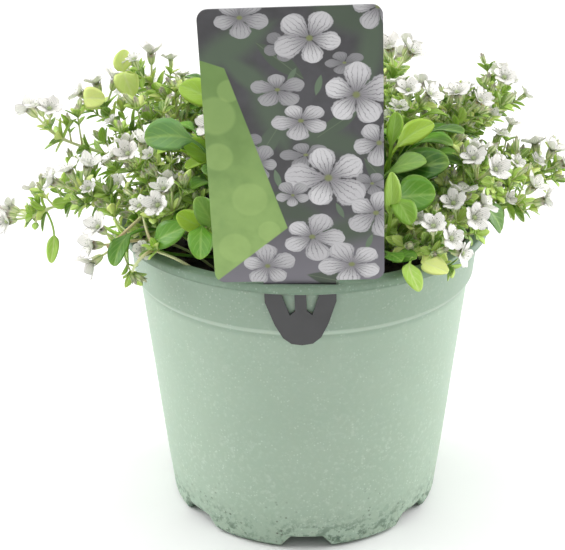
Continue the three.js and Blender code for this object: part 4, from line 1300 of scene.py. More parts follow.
@dataclass
class FlowerHead:
    """The open flowers at the end of one stem."""

    number: int
    flowers: list[Flower]
    petal_reach: float = 0.84
    tired_share: float = 0.025
    petal_half_width: float = 0.42
    thickness: float = 0.2
    notch: float = 0.1
    petal_lift: float = 0.5
    stamens: int = 9

    def petal_rows(self, rng: Rng) -> list[tuple]:
        """A row for each petal: base, facing, its way out and to the side, radius, rise, fading and curl."""
        rows = []
        for flower in self.flowers:
            tired = 1.0 if rng.random() < self.tired_share else 0.4 * rng.random() ** 3
            cup = flower.radius / FLOWER_RADIUS * FLOWER_RISE * (0.8 + 1.1 * rng.random()) + 1.5 * tired
            size = self.petal_reach * flower.radius * (0.93 + 0.12 * rng.random()) * (1 - 0.12 * tired)
            for k in range(PETALS):
                turn = (k + 0.06 * (rng.random() - 0.5)) * TAU / PETALS
                out = swing(flower.first, flower.second, turn)
                side = swing(flower.second, -flower.first, turn)
                radius, rise = size * (0.97 + 0.06 * rng.random()), cup * (0.9 + 0.2 * rng.random())
                rows.append((flower.base, flower.facing, out, side, radius, rise, tired, 0.6 * rng.random()))
        return rows

    def petals(self, rng: Rng) -> Patch:
        """All petals of the head.

        At s along and a across, a petal's point lies at s times the radius outwards and at a times its half
        width to the side: a sine of pi times s to the power 1.6, so that it is widest beyond its middle. The
        end is notched by a bell curve of a. It rises with s squared as a bowl, bends back at its end, is
        cupped by a squared, and is twisted a little so that it passes over one neighbour and under the other.
        """
        rows = list(zip(*self.petal_rows(rng)))
        base, facing, out, side, r, rise, _, curl = (column(values) for values in rows)
        s, a, face = PETAL_GRID.spread()
        bulge = np.power(np.sin(math.pi * np.power(0.03 + 0.955 * s, 1.6)), 0.62)
        half = r * (self.petal_half_width * bulge + 0.02)
        reach = r * s * (1 - self.notch * np.exp(-((a / 0.3) ** 2)) * s**5)
        bowl = rise * s * s - curl * np.power(s, 5) - 0.55 * (1 - s) ** 4
        cup = 0.5 * a * a * half * (1 - s) + 0.08 * a * s * r + 0.1 * np.sin(5 * a + 3 * s) * s * s
        lens = face * self.thickness / 2 * (1 - 0.7 * a * a)
        rings = base + out * reach + side * (a * half) + facing * (self.petal_lift + bowl + cup + lens)
        tips = base + out * (r * (1 - self.notch)) + facing * (self.petal_lift + rise - curl)
        return loft(rings, PETAL_GRID.uv(), np.array(rows[6]), HeadFinish.PETAL, tip=tips[:, 0, 0])

    def knob(self, flower: Flower) -> Patch:
        """The green middle of a flower: a low dome."""
        level = np.array([-0.25, 0.35, 0.8, 1.05])[:, None]
        width = np.array([0.75, 0.9, 0.72, 0.35])[:, None]
        ring = circle(flower.first, flower.second, 8)
        rings = stacked(flower.base[None], flower.facing[None], ring[None], width, level)
        return loft(rings, round_uv(4, 8), np.array([0.1]), HeadFinish.HEART)

    def threads(self, rng: Rng, flower: Flower) -> Patch:
        """The stamens of a flower: threads that rise outwards on a bent way and end in a knob."""
        turn = TAU * (np.arange(self.stamens) + rng.random(self.stamens) * 0.4)[:, None] / self.stamens
        out = flower.first * np.cos(turn) + flower.second * np.sin(turn)
        side = flower.second * np.cos(turn) - flower.first * np.sin(turn)
        s = np.array([0.0, 0.45, 0.78, 0.86, 0.97])[:, None, None]
        wide = np.array([0.1, 0.08, 0.07, 0.2, 0.16])[:, None, None]
        reach = (0.5 + 1.5 * s) * column(0.8 + 0.4 * rng.random(self.stamens))
        lift = 0.5 + 1.7 * s - 0.35 * s * s
        cross = circle(0.6 * out, side, 4)[:, None] * wide
        rings = flower.base + column(out) * reach + flower.facing * lift + cross
        return loft(rings, round_uv(5, 4), np.full(self.stamens, 0.9), HeadFinish.HEART)

    def build(self, finishes: Finishes) -> bpy.types.Object:
        """Builds the head as one piece in place of its node."""
        rng = Seed.HEAD.draws(self.number)
        name = f"flower_head_{self.number + 1:02d}"
        piece = Piece(f"{name}_open", "petals", [name], finishes)
        piece.add(self.petals(rng))
        for flower in self.flowers:
            piece.add(self.knob(flower))
            piece.add(self.threads(rng, flower))
        return piece.build()


@dataclass
class Spoon:
    """A spoon-shaped leaf to be dressed: its curve, its sides at the stalk and the blade, and its sizes."""

    curve: list[Array]
    side: Array
    blade_side: Array
    width: float
    tone: float
    start: float = BLADE_START
    stalk: float = PETIOLE_WIDTH


def spoon_leaf(leaf: Spoon, phase: float, slot: int) -> Patch:
    """One spoon-shaped leaf: a thin stalk, and a round-tipped blade.

    At t along its curve and a across, a point lies a times half the outline to the side. The outline is the
    stalk's up to the start of the blade. From there u runs from 0 to 1 and the root of the sine of pi times
    u to the power 0.8 is added. The side turns smoothly from the stalk's to the blade's. The blade is
    hollowed by a squared and waves a little along its edge, and a groove runs over the midrib.

    Args:
        leaf: The leaf.
        phase: Where the waves of its edge start.
        slot: The number of its finish.

    Returns:
        The closed leaf.
    """
    a, face = np.array(SPOON_GRID.across), np.array(SPOON_GRID.face)
    t = np.clip(1 - (1 - np.linspace(0, 1, 18)) ** 1.25, 0.0, 0.985)[:, None]
    path, way = bezier(leaf.curve, t[:, 0]), bezier_way(leaf.curve, t[:, 0])
    turn = np.clip((t - 0.2) / (leaf.start - 0.2), 0, 1)
    side = leaf.side + (leaf.blade_side - leaf.side) * turn * turn * (3 - 2 * turn)
    side = unit(side - way * np.sum(side * way, axis=1, keepdims=True))
    normal = np.cross(way, side)
    u = np.clip((t - leaf.start) / (1 - leaf.start), 0, 1)
    oval = np.sqrt(np.clip(np.sin(math.pi * np.power(u, 0.8)), 0, 1))
    half = (leaf.stalk * (1 - u) + (leaf.width - leaf.stalk / 2) * oval) / 2
    spoon = np.minimum(1, 4 * u)
    thick = np.where(u > 0, SPOON_THICKNESS, 0.6 * leaf.stalk) / 2
    groove = np.where(a == 0, np.where(face > 0, 0.3, 1.8), 1.0)
    wave = 0.035 * leaf.width * np.sin(9 * t + phase) * a**3 * spoon
    lift = 0.2 * a * a * half * spoon + wave + face * groove * (1 - 0.5 * a * a) * thick
    rings = path[:, None] + side[:, None] * (a * half)[..., None] + normal[:, None] * lift[..., None]
    uv, tip = paired((a + 1) / 2, u), bezier(leaf.curve, 1.0)[None]
    return loft(rings[None], uv, np.array([leaf.tone]), slot, tip=tip)


@dataclass
class BasalTuft:
    """A tuft of spoon-shaped leaves on its crown."""

    number: int
    tuft: Tuft
    extra: list[Spoon]

    def crown(self) -> Patch:
        """The crown: a low knob that is ribbed by the feet of its leaves."""
        top = self.tuft.crown[2]
        z = np.array([SOIL_TOP - 8.0, SOIL_TOP - 1.0, top - 0.6, top + 0.4, top + 1.2])[:, None]
        wide = np.array([2.0, 2.3, 2.3, 1.8, 0.9])[:, None]
        radius = wide * (1 + 0.07 * np.cos(CROWN_SIDES * (angles(18) - self.tuft.facing)))
        foot = vec(self.tuft.crown[0], self.tuft.crown[1], 0.0)
        ring = circle(polar(1, 0), polar(1, math.pi / 2), 18)
        rings = stacked(foot[None], UP[None], ring[None], radius, z)
        return loft(rings, round_uv(len(z), 18), np.array([0.1]), 1)

    def build(self, finishes: Finishes) -> bpy.types.Object:
        """Builds the tuft as one piece in place of its node."""
        rng = Seed.TUFT.draws(self.number)
        name = f"basal_leaves_{self.number + 1:02d}"
        piece = Piece(f"{name}_grown", "basal_leaves", [name], finishes)
        piece.add(self.crown())
        own = [Spoon(leaf.curve, leaf.side, leaf.side, leaf.width, rng.random()) for leaf in self.tuft.leaves]
        for leaf in own + self.extra:
            piece.add(spoon_leaf(leaf, TAU * rng.random(), 0))
        return piece.build()


@dataclass
class Growth:
    """What a stem bears beyond the model's own leaves, as rows for its surfaces."""

    leaves: list[tuple] = field(default_factory=list)
    tiny: list[tuple] = field(default_factory=list)
    twigs: list[Array] = field(default_factory=list)
    bud_feet: list[Array] = field(default_factory=list)
    bud_ways: list[Array] = field(default_factory=list)
    flowers: list[Flower] = field(default_factory=list)
    discs: list[Spoon] = field(default_factory=list)
    runners: list[Array] = field(default_factory=list)


def nearest_stem(stems: Sequence[Stem], place: Array) -> tuple[int, Array, float]:
    """The number of the stem that passes nearest to a place, a point on it just before, and the distance."""
    lines = np.stack([bezier(stem.line.curve, np.linspace(0.3, 1.0, 60)) for stem in stems])
    gaps = np.sum((lines - place) ** 2, axis=2)
    n, nearest = (int(number) for number in np.unravel_index(np.argmin(gaps), gaps.shape))
    return n, lines[n, max(0, nearest - 3)], math.sqrt(gaps[n, nearest])


@dataclass
class Filling:
    """Fills the mound out: whorls of leaves at the nodes, and branchlets with leaves, buds and flowers."""

    crowd: Crowd
    clearance: float = 0.08
    beads: Sequence[tuple] = ((0.4, 0.22, True), (0.7, 0.26, False), (0.97, 0.12, False))
    between: Sequence[float] = (0.37, 0.52, 0.69, 0.845, 0.96)
    always: float = 0.69
    branch_shares: Sequence[float] = (
        0.16, 0.24, 0.31, 0.38, 0.45, 0.53, 0.6, 0.67, 0.74, 0.81, 0.87, 0.93, 0.98,
    )
    branch_tries: int = 7
    long_until: float = 0.7
    longest: float = 16.0
    shorter: float = 11.0
    twig_radius: float = 0.38
    bends: Sequence[float] = (0.0, 0.3, -0.3, 0.6, -0.5, 0.9)
    airy_side: float = -50.0
    airy_share: float = 0.3
    bloom_share: float = 0.3
    bloom_radius: float = 3.7
    bloom_height: float = 2.6
    bloom_leans: Sequence[float] = (0.25, 0.6, 0.0, 1.0)
    bud_share: float = 0.8
    side_bud_share: float = 0.55

    def try_leaf(
        self, owner: str, point: Array, blade: Array, side: Array, length: float, width: float
    ) -> tuple:
        """The row of a leaf if it is clear of all that stands, or an empty row."""
        normal = np.cross(blade, side)
        beads = leaf_beads(self.beads, point, blade, normal, length, width)
        free = self.crowd.seat(owner, beads, self.clearance)
        return (point, blade, side, normal, length, width, LEAF_ARCH) if free else ()

    def whorl(
        self, rng: Rng, owner: str, point: Array, direction: Array, count: int, angle: float, size: float
    ) -> list[tuple]:
        """A whorl of small leaves round a point of a stem.

        Args:
            rng: The stem's draws.
            owner: The stem's name.
            point: The place of the whorl.
            direction: The stem's direction there.
            count: How many leaves it has.
            angle: How far they lean away from the direction.
            size: Their size, where 1 is a full leaf.

        Returns:
            The rows of the leaves that find room.
        """
        rows = []
        across = sideways(direction, TAU * rng.random())
        up = np.cross(direction, across)
        for k in range(count):
            out = swing(across, up, TAU * k / count + 0.3 * (rng.random() - 0.5))
            length = size * LEAF_LENGTH * (0.8 + 0.4 * rng.random())
            width = LEAF_WIDTH * (1.0 + 0.3 * rng.random()) * size**0.8
            for bend in self.bends:
                blade = swing(direction, out, angle + bend + 0.15 * (rng.random() - 0.5))
                row = self.try_leaf(owner, point, blade, np.cross(direction, out), length, width)
                if row:
                    rows.append((*row, 0.15 + 0.25 * rng.random(), rng.random()))
                    break
        return rows

    def branchlet(self, rng: Rng, owner: str, point: Array, way: Array, longest: float) -> Array | None:
        """The path of a thin side branch that leaves a stem and bends upwards, if it finds room."""
        for _ in range(self.branch_tries):
            out = sideways(way, TAU * rng.random())
            lean = unit(way * 0.45 + out * 0.8 + UP * (0.1 + 0.5 * rng.random()))
            length = longest * (0.5 + 0.5 * rng.random())
            bend = point + lean * (0.5 * length)
            end = bend + unit(lean + UP * (0.5 + 0.8 * rng.random())) * (0.5 * length)
            t = np.linspace(0, 1, 8)
            path = bezier([point, mix(point, bend, 0.8), mix(bend, end, 0.2), end], t)
            tip = end + unit(end - bend) * 2.2
            radii = np.concatenate([np.full(8, self.twig_radius), [1.0]])
            rooted = np.array([True] * 4 + [False] * 5)
            beads = Beads(np.concatenate([path, tip[None]]), radii, rooted)
            if self.crowd.seat(owner, beads, self.clearance):
                return path
        return None

    def bloom(self, rng: Rng, owner: str, end: Array, way: Array, growth: Growth) -> bool:
        """Puts a small open flower on the end of a branchlet, if there is room for it."""
        radius = self.bloom_radius * (0.85 + 0.3 * rng.random())
        out = unit(vec(end[0], end[1], 0.0))
        for lean in self.bloom_leans:
            facing = unit(way + out * lean + UP * 0.3)
            base = end + facing * self.bloom_height
            first = sideways(facing, TAU * rng.random())
            second = np.cross(facing, first)
            rim, rows = base + facing * 1.2, [(base + facing, 1.0, True)]
            for k in range(PETALS):
                rows.append((rim + swing(first, second, k * TAU / PETALS) * (RIM_REACH * radius), 0.8, False))
            beads = Beads.of(rows)
            if self.crowd.seat(owner, beads, 0.0):
                growth.flowers.append(Flower(base, facing, first, second, radius, beads))
                return True
        return False

    def clothe(self, rng: Rng, owner: str, path: Array, growth: Growth) -> None:
        """Gives a branchlet a pair of leaves on its way, and a tuft with buds or a flower at its end."""
        way = unit(path[-1] - path[-2])
        growth.twigs.append(path)
        middle = 4 + int(2 * rng.random())
        ahead = unit(path[middle] - path[middle - 1])
        growth.tiny += self.whorl(rng, owner, path[middle], ahead, 2, 0.8, 0.5)
        if rng.random() < self.bloom_share and self.bloom(rng, owner, path[-1], way, growth):
            growth.tiny += self.whorl(rng, owner, path[6], way, 3, 0.9, 0.5)
            return
        if rng.random() < self.bud_share:
            growth.bud_feet.append(path[-1] - way * 0.3)
            growth.bud_ways.append(way)
        growth.tiny += self.whorl(rng, owner, path[-1] - way * 0.4, way, 5, 0.8, 0.52 + 0.22 * rng.random())
        for _ in range(2):
            lean = unit(way + sideways(way, TAU * rng.random()) * 0.55)
            foot = path[-1] + lean * (1.2 + 1.6 * rng.random())
            beads = Beads.string(foot + lean * np.array([[1.5], [3.2]]), 0.7)
            if rng.random() < self.side_bud_share and self.crowd.seat(owner, beads, -0.1):
                middle = mix(path[-1], foot, 0.5) + way * 0.2
                growth.twigs.append(np.array([path[-1] - way * 0.5, middle, foot]))
                growth.bud_feet.append(foot - lean * 0.2)
                growth.bud_ways.append(lean)

    def of(self, stem: Stem, n: int) -> Growth:
        """All that one stem bears beyond the model's own leaves."""
        rng = Seed.GROWTH.draws(n)
        owner = f"stem {n}"
        growth = Growth()
        curve = stem.line.curve
        for share in self.between:
            t = param_at(curve, share)
            point, way = bezier(curve, t), bezier_way(curve, t)
            if point[0] > self.airy_side or share == self.always:
                growth.leaves += self.whorl(rng, owner, point, way, 2, 0.95, 0.85 + 0.3 * rng.random())
        for node in stem.nodes:
            station = node.station
            growth.leaves += self.whorl(rng, owner, station.point, station.direction, 5, 0.85, 0.78)
            if node.shoot:
                twig = node.shoot.node
                growth.leaves += self.whorl(rng, owner, twig.point, twig.direction, 5, 0.8, 0.72)
        last = stem.stations[-1]
        growth.leaves += self.whorl(rng, owner, last.point, last.direction, 6, 0.95, 0.66)
        for share in self.branch_shares:
            t = param_at(curve, share)
            point, way = bezier(curve, t), bezier_way(curve, t)
            longest = self.longest if share < self.long_until else self.shorter
            for k in range(2):
                if point[0] < self.airy_side and (k or rng.random() < self.airy_share):
                    continue
                path = self.branchlet(rng, owner, point, way, longest)
                if path is not None:
                    self.clothe(rng, owner, path, growth)
        return growth

    def runners(self, stems: list[Stem], growths: list[Growth]) -> None:
        """Gives the bare stems over the rim, with a sprig at their node, to the nearest leafy stem."""
        rng, node = Seed.RUNNERS.draws(), np.array(RUNNER_NODE)
        n, _, _ = nearest_stem(stems, node)
        growths[n].runners = [bezier(np.array(corners, float), np.linspace(0, 1, 14)) for corners in RUNNERS]
        for way, count in ((vec(-0.2, -0.3, 1.0), 6), (vec(-0.8, -0.5, 0.5), 4)):
            growths[n].leaves += self.whorl(rng, f"stem {n}", node, unit(way), count, 0.7, 0.7)


@dataclass(frozen=True)
class Showpiece:
    """A leaf that stands out: its tuft or stem, its blade's start, end and upper face, and its looks."""

    owner: int
    start: tuple[float, float, float]
    end: tuple[float, float, float]
    face: tuple[float, float, float]
    width: float
    tone: float


TUFT_LEAVES = [Showpiece(*row) for row in (
    (1, (26.4, -40, 119), (37.5, -45, 122), (0.1, -0.75, 0.65), 12.0, 0.5),
    (1, (27.1, -31, 124), (42.2, -37, 129), (0.0, -0.7, 0.7), 12.0, 0.12),
    (1, (26.2, -33, 125.9), (35.6, -36, 129), (-0.1, -0.4, 0.9), 8.0, 1.3),
    (1, (28.9, -28, 132.6), (38.4, -27, 138), (0.2, -0.5, 0.85), 7.5, 0.95),
    (1, (25.8, -30, 133.9), (26.7, -30, 142.5), (0.4, -0.8, 0.3), 5.5, 0.8),
    (1, (24.6, -47, 119), (24.6, -45, 130), (0.5, -0.8, 0.2), 6.0, 1.2),
    (1, (25.4, -46, 121), (29, -52, 115.7), (0.1, -0.6, 0.8), 7.5, 0.75),
    (1, (54.5, -28, 112), (59.5, -27, 104.5), (0.7, -0.6, 0.5), 9.0, 0.25),
    (1, (28, -44, 107), (34, -50, 109), (0.1, -0.6, 0.8), 6.0, 0.5),
    (1, (37, -44, 106), (43, -49, 107), (0.2, -0.6, 0.8), 6.5, 0.7),
    (1, (24.5, -50, 105.5), (27, -56.5, 106), (0.0, -0.5, 0.85), 6.0, 0.35),
    (0, (-35, -33, 136), (-47, -36, 137), (-0.1, -0.75, 0.65), 11.0, 1.45),
    (0, (-32.3, -31, 121), (-47, -32, 127), (0.0, -0.7, 0.7), 12.0, 0.1),
    (0, (-27.8, -30, 128), (-36.0, -31, 134.5), (0.2, -0.8, 0.5), 7.0, 0.85),
    (0, (-27.6, -24, 144), (-37.2, -20, 148.5), (0.1, -0.8, 0.6), 9.0, 0.9),
    (0, (-27.2, -46, 114), (-31.6, -49, 123.4), (0.2, -0.9, 0.3), 7.0, 1.3),
    (0, (-31, -45, 112.5), (-37.5, -48, 117.8), (0.1, -0.8, 0.5), 6.5, 1.1),
    (0, (-43.4, -42, 105.5), (-34.0, -46, 111.5), (0.0, -0.75, 0.65), 8.0, 0.6),
    (0, (-55.0, -38, 106.5), (-58.5, -43.5, 99.5), (-0.5, -0.8, 0.4), 7.0, 0.35),
    (0, (-29.2, -52, 109.5), (-29.2, -61.5, 104), (0.1, -0.5, 0.85), 7.5, 0.65),
    (2, (34, 30, 128), (46, 38, 124), (0.3, 0.5, 0.8), 12.0, 0.3),
    (2, (14, 40, 128), (20, 52, 124), (0.1, 0.6, 0.8), 12.0, 0.6),
    (2, (46, 12, 124), (58, 14, 120), (0.6, 0.1, 0.8), 10.0, 0.4),
    (3, (-34, 28, 126), (-46, 36, 122), (-0.4, 0.4, 0.8), 12.0, 0.45),
    (3, (-10, 40, 126), (-14, 52, 121), (-0.1, 0.6, 0.8), 11.0, 1.2),
    (3, (-42, 8, 122), (-54, 6, 118), (-0.6, 0.0, 0.8), 10.0, 0.3),
    (4, (8, 22, 136), (12, 33, 139), (0.2, 0.4, 0.9), 10.0, 0.8),
    (4, (-12, 20, 138), (-20, 28, 141), (-0.2, 0.3, 0.9), 9.0, 0.9),
)]
STEM_LEAVES = [Showpiece(*row) for row in (
    (7, (-70.8, 10, 136), (-64.0, 10, 136), (0.1, -0.9, 0.4), 7.4, 0.97),
    (7, (-57.7, 16, 143), (-55.5, 14, 135.5), (0.0, -0.85, 0.5), 8.2, 0.85),
    (7, (-58.6, 19, 143), (-58.0, 21, 149.5), (0.1, -0.9, 0.3), 6.0, 0.9),
    (0, (-81.2, -6, 94.5), (-82.5, -8, 86.0), (-0.3, -0.9, 0.3), 4.6, 0.4),
    (16, (34.3, -53, 104.2), (40.5, -57, 102.4), (0.1, -0.6, 0.8), 6.5, 0.98),
    (16, (29.5, -55, 104.2), (31.8, -62, 98.8), (0.2, -0.8, 0.5), 5.5, 0.5),
)]

# Bare stems that lie over the rim beside the label: the corners of each, from its root.
RUNNERS = (
    ((-27, -38, 89), (-33, -44, 99.5), (-38.5, -45, 103), (-44.3, -43, 104.2)),
    ((-44.3, -43, 104.2), (-47.2, -40, 106.5), (-49.5, -33, 112), (-50, -24, 117)),
    ((-57.8, -38, 105), (-52.5, -35, 108.8), (-47.5, -31, 113), (-38, -20, 117)),
    ((-60, -36.5, 103.2), (-50, -33, 104.8), (-41, -30, 105), (-28, -24, 90)),
    ((-44.3, -43, 104.2), (-46.5, -45.5, 106.5), (-50.5, -46.5, 102), (-51.5, -45.5, 99)),
    ((-29.2, -40, 112), (-30, -45, 112.5), (-30.2, -48.5, 111), (-29.4, -51.5, 109.6)),
)
RUNNER_NODE = (-44.3, -43.0, 104.4)


@dataclass
class Undergrowth:
    """More spoon-shaped leaves: large ones that stand out, and small ones that fill the mound's inside."""

    crowd: Crowd
    shifts: int = 90
    shift: float = 0.05
    tries: int = 110
    # Where a blade starts on its curve, and the width of its stalk.
    large_blade: tuple[float, float] = (0.6, 1.2)
    small_blade: tuple[float, float] = (0.66, 1.0)
    round_blade: tuple[float, float] = (0.45, 0.7)

    def held_out(
        self, foot: Array, item: Showpiece, play: Array, s: float, stalk_width: float
    ) -> tuple[Spoon, Beads]:
        """A spoon-shaped leaf whose blade runs from a place to another and faces a given way.

        The curve's second corner is set so that the curve passes the blade's start at its share of the way.

        Args:
            foot: Where the leaf springs from.
            item: The leaf.
            play: How far its blade is shifted.
            s: The share of the curve at which the blade starts.
            stalk_width: The width of its stalk.

        Returns:
            The leaf and its beads.
        """
        begin, end, face = np.array(item.start) + play, np.array(item.end) + play, unit(np.array(item.face))
        bulge = mix(begin, end, 0.35) + face * 0.14 * item.width
        corner = begin - (1 - s) ** 3 * foot - 3 * (1 - s) * s * s * bulge - s**3 * end
        corner = corner / (3 * (1 - s) ** 2 * s)
        curve = [foot, corner, bulge, end]
        blade_side = unit(np.cross(face, end - begin))
        level = unit(vec(end[0] - foot[0], end[1] - foot[1], 0.0))
        side = vec(-level[1], level[0], 0.0)
        if side @ blade_side < 0:
            side = -side
        rows = [(bezier(curve, t), 0.45, t < 0.4) for t in np.linspace(0.1, s, 8)]
        for t in np.linspace(s + 0.06, 0.97, 5):
            half = 0.5 * item.width * math.sqrt(math.sin(math.pi * ((t - s) / (1 - s)) ** 0.8))
            middle = bezier(curve, t)
            for share in (-0.85, -0.4, 0, 0.4, 0.85):
                rows.append((middle + blade_side * (share * half), 0.4, False))
        return Spoon(curve, side, blade_side, item.width, item.tone, s, stalk_width), Beads.of(rows)

    def large(self, tufts: list[Tuft], n: int) -> list[Spoon]:
        """The large leaves of one tuft, each shifted little by little until it has room."""
        rng, foot = Seed.LARGE_LEAVES.draws(n), tufts[n].crown + UP * 0.2
        found = []
        for item in (leaf for leaf in TUFT_LEAVES if leaf.owner == n):
            for k in range(self.shifts):
                play = self.shift * k * (2 * rng.random(3) - 1)
                leaf, beads = self.held_out(foot, item, play, *self.large_blade)
                if self.crowd.seat(f"tuft {n}", beads, -0.3):
                    found.append(leaf)
                    break
        return found

    def small(self, tuft: Tuft, n: int) -> list[Spoon]:
        """The small extra leaves of one tuft: thin stalks that rise and bend over into round blades."""
        rng, foot = Seed.SMALL_LEAVES.draws(n), tuft.crown + UP * 0.2
        found = []
        for _ in range(self.tries):
            turn, reach, rise = TAU * rng.random(), 8 + 18 * rng.random(), 14 + 30 * rng.random()
            end = foot + polar(reach, turn) + UP * rise
            level = polar(1.0, turn)
            width = 5.5 + 3.5 * rng.random()
            start = end - level * (1.05 * width) + UP * (2 * rng.random() - 0.5)
            face = unit(UP + level * (0.2 + 0.5 * rng.random()))
            item = Showpiece(n, tuple(start), tuple(end), tuple(face), width, rng.random())
            leaf, beads = self.held_out(foot, item, np.zeros(3), *self.small_blade)
            if self.crowd.seat(f"tuft {n}", beads, 0.0):
                found.append(leaf)
        return found

    def round_ones(self, stems: list[Stem]) -> dict[int, list[Spoon]]:
        """The round leaves on thin stalks, each given to the stem that passes nearest to it."""
        found: dict[int, list[Spoon]] = {}
        for item in STEM_LEAVES:
            n, foot, gap = nearest_stem(stems, np.array(item.start))
            leaf, beads = self.held_out(foot, item, np.zeros(3), *self.round_blade)
            self.crowd.keep(f"stem {n}", beads)
            log.info("round leaf for stem %d, %.1f mm from it", n + 1, gap)
            found.setdefault(n, []).append(leaf)
        return found


# The pot and the soil.


def arc_corner(before: Array, corner: Array, after: Array, radius: float, steps: int = 4) -> Array:
    """A corner of a profile rounded off: a curve from one side to the other that is drawn to the corner."""
    start = corner + unit(before - corner) * radius
    end = corner + unit(after - corner) * radius
    t = np.linspace(0, 1, steps)[:, None]
    return start * (1 - t) ** 2 + corner * (2 * t * (1 - t)) + end * t * t


def rounded(profile: Sequence[tuple[float, float, float]]) -> Array:
    """A profile of radius and height whose corners are rounded off by the third number of each row."""
    points = np.array([row[:2] for row in profile], float)
    parts = [points[:1]]
    for k in range(1, len(points) - 1):
        radius = profile[k][2]
        corner = points[k]
        parts.append(arc_corner(points[k - 1], corner, points[k + 1], radius) if radius else corner[None])
    parts.append(points[-1:])
    return np.concatenate(parts)


@dataclass
class NurseryPot:
    """The moulded pot: one closed wall from the middle of its foot out, up, over the lip and back inside."""

    notch_lines: Sequence[float] = (-9.9, -9.6, -8.3, -7.5, -6.5, -5.2, -2.6, -2.4, 0.0)
    under_radii: Sequence[float] = (3, 12, 22, 31.9, 32.1, 35.4, 35.6, 38, 40.4, 40.6, 43.2)
    floor_radii: Sequence[float] = (41.9, 40.5, 36, 30.8, 30.6, 18, 3)
    between_columns: int = 11
    recess_wall: float = 0.1
    notch_fade: float = 8.0

    def columns(self, radius: Array) -> tuple[Array, Array]:
        """The angle of each column at each radius, and how far it lies from the middle line of its notch.

        A column beside a notch keeps its distance y from the notch's middle line, so its angle is the arcsine
        of y over the radius. The columns between two notches share out the angle that is left.

        Args:
            radius: The radius of each row.

        Returns:
            Angles, and distances from the nearest notch line, as (rows, columns).
        """
        half = np.array(self.notch_lines)
        lines = np.concatenate([half, -half[-2::-1]])
        reach = np.maximum(radius, NOTCH_INNER_RADIUS)[:, None]
        in_notch = np.arcsin(lines / reach)
        edge = in_notch[:, -1:]
        shares = np.linspace(0, 1, self.between_columns + 2)[1:-1]
        gap = TAU / NOTCHES - 2 * edge
        between = edge + shares * gap
        angles, distances = [], []
        far = np.full(between.shape, 99.0)
        for k in range(NOTCHES):
            turn = TAU * k / NOTCHES - math.pi / 2
            angles += [in_notch + turn, between + turn]
            distances += [np.broadcast_to(lines, in_notch.shape), far]
        return np.concatenate(angles, axis=1), np.concatenate(distances, axis=1)

    def foot_height(self, radius: Array, y: Array, padding: float) -> Array:
        """How high a notch with its padding rises at a radius and a distance from its middle line.

        It is its full height under its roof, falls in a straight line to nothing at its foot, and is nothing
        inside its inner end.
        """
        foot, roof = NOTCH_FOOT_WIDTH / 2 + padding, NOTCH_ROOF_WIDTH / 2 + padding
        top = NOTCH_HEIGHT + padding
        slope = np.clip((foot - np.abs(y)) / (foot - roof), 0, 1) * top
        return np.where(radius >= NOTCH_INNER_RADIUS - padding, slope, 0.0)

    def rows(self) -> tuple[Array, Array, Array]:
        """The radius, height and part of each row of points: part 0 under the foot, 1 outside, 2 inside."""
        wall = POT_WALL
        under = np.array([(radius, 0) for radius in self.under_radii])
        outside = rounded([
            (BODY_FOOT_RADIUS - FOOT_CHAMFER, 0, 0), (BODY_FOOT_RADIUS, FOOT_CHAMFER, 0.7),
            (BODY_FOOT_RADIUS + 0.52, 6, 0), (47.6, 17, 0), (49.3, 33, 0), (51.0, 50, 0), (52.7, 66, 0),
            (54.0, 78.6, 0), (BODY_TOP_RADIUS, BODY_TOP_Z, 0.6), (COLLAR_FOOT_RADIUS, COLLAR_FOOT_Z, 0.7),
            (56.4, 90, 0), (COLLAR_TOP_RADIUS, LIP_FOOT_Z, 0.6), (LIP_RADIUS, LIP_FOOT_Z, 0.7),
            (LIP_RADIUS, POT_HEIGHT, 1.0),
            (COLLAR_TOP_RADIUS - wall, POT_HEIGHT, 0.5), (COLLAR_TOP_RADIUS - wall, 98, 0),
        ])
        inside = rounded([
            (COLLAR_TOP_RADIUS - wall, 98, 0), (COLLAR_FOOT_RADIUS - wall, COLLAR_FOOT_Z, 0.6),
            (BODY_TOP_RADIUS - wall, BODY_TOP_Z, 0.6), (51, 60, 0), (48, 34, 0),
            (BODY_FOOT_RADIUS - wall + 0.6, 7, 0), (BODY_FOOT_RADIUS - wall, wall, 0.8),
            *((radius, wall, 0) for radius in self.floor_radii),
        ])[1:]
        part = np.concatenate([np.zeros(len(under)), np.ones(len(outside)), np.full(len(inside), 2)])
        profile = np.concatenate([under, outside, inside])
        return profile[:, 0], profile[:, 1], part

    def shell(self) -> Patch:
        """The wall as one closed surface.

        Every row is a ring at the radius and height of the profile. Where a notch stands higher than the
        row, the row is lifted to it: outside by closing the rows up over the first few millimetres, so that
        the wall's foot follows the notch, and inside over the padded notch.
        """
        radius, z, part = self.rows()
        angle, y = self.columns(radius)
        r, height, kind = radius[:, None], z[:, None], part[:, None]
        notch = self.foot_height(r, y, 0.0)
        half = DRAIN_WIDTH / 2 - self.recess_wall + 1e-6
        drain = (np.abs(y) <= half) & (np.abs(r - DRAIN_RADIUS) <= half)
        under = notch + np.where(drain, POT_WALL - self.recess_wall, 0.0)
        outside = height + notch * np.clip(1 - height / self.notch_fade, 0, 1)
        inside = np.maximum(height, self.foot_height(r, y, POT_WALL))
        level = np.where(kind == 0, under, np.where(kind == 1, outside, inside))
        rings = np.stack([r * np.cos(angle), r * np.sin(angle), level], axis=-1)
        uv = paired(np.abs(np.linspace(-1, 1, rings.shape[1])), np.linspace(0, 1, len(radius))[:, None])
        return loft(rings[None], uv, np.array([0.5]), 0, np.zeros((1, 3)), UP[None] * POT_WALL)

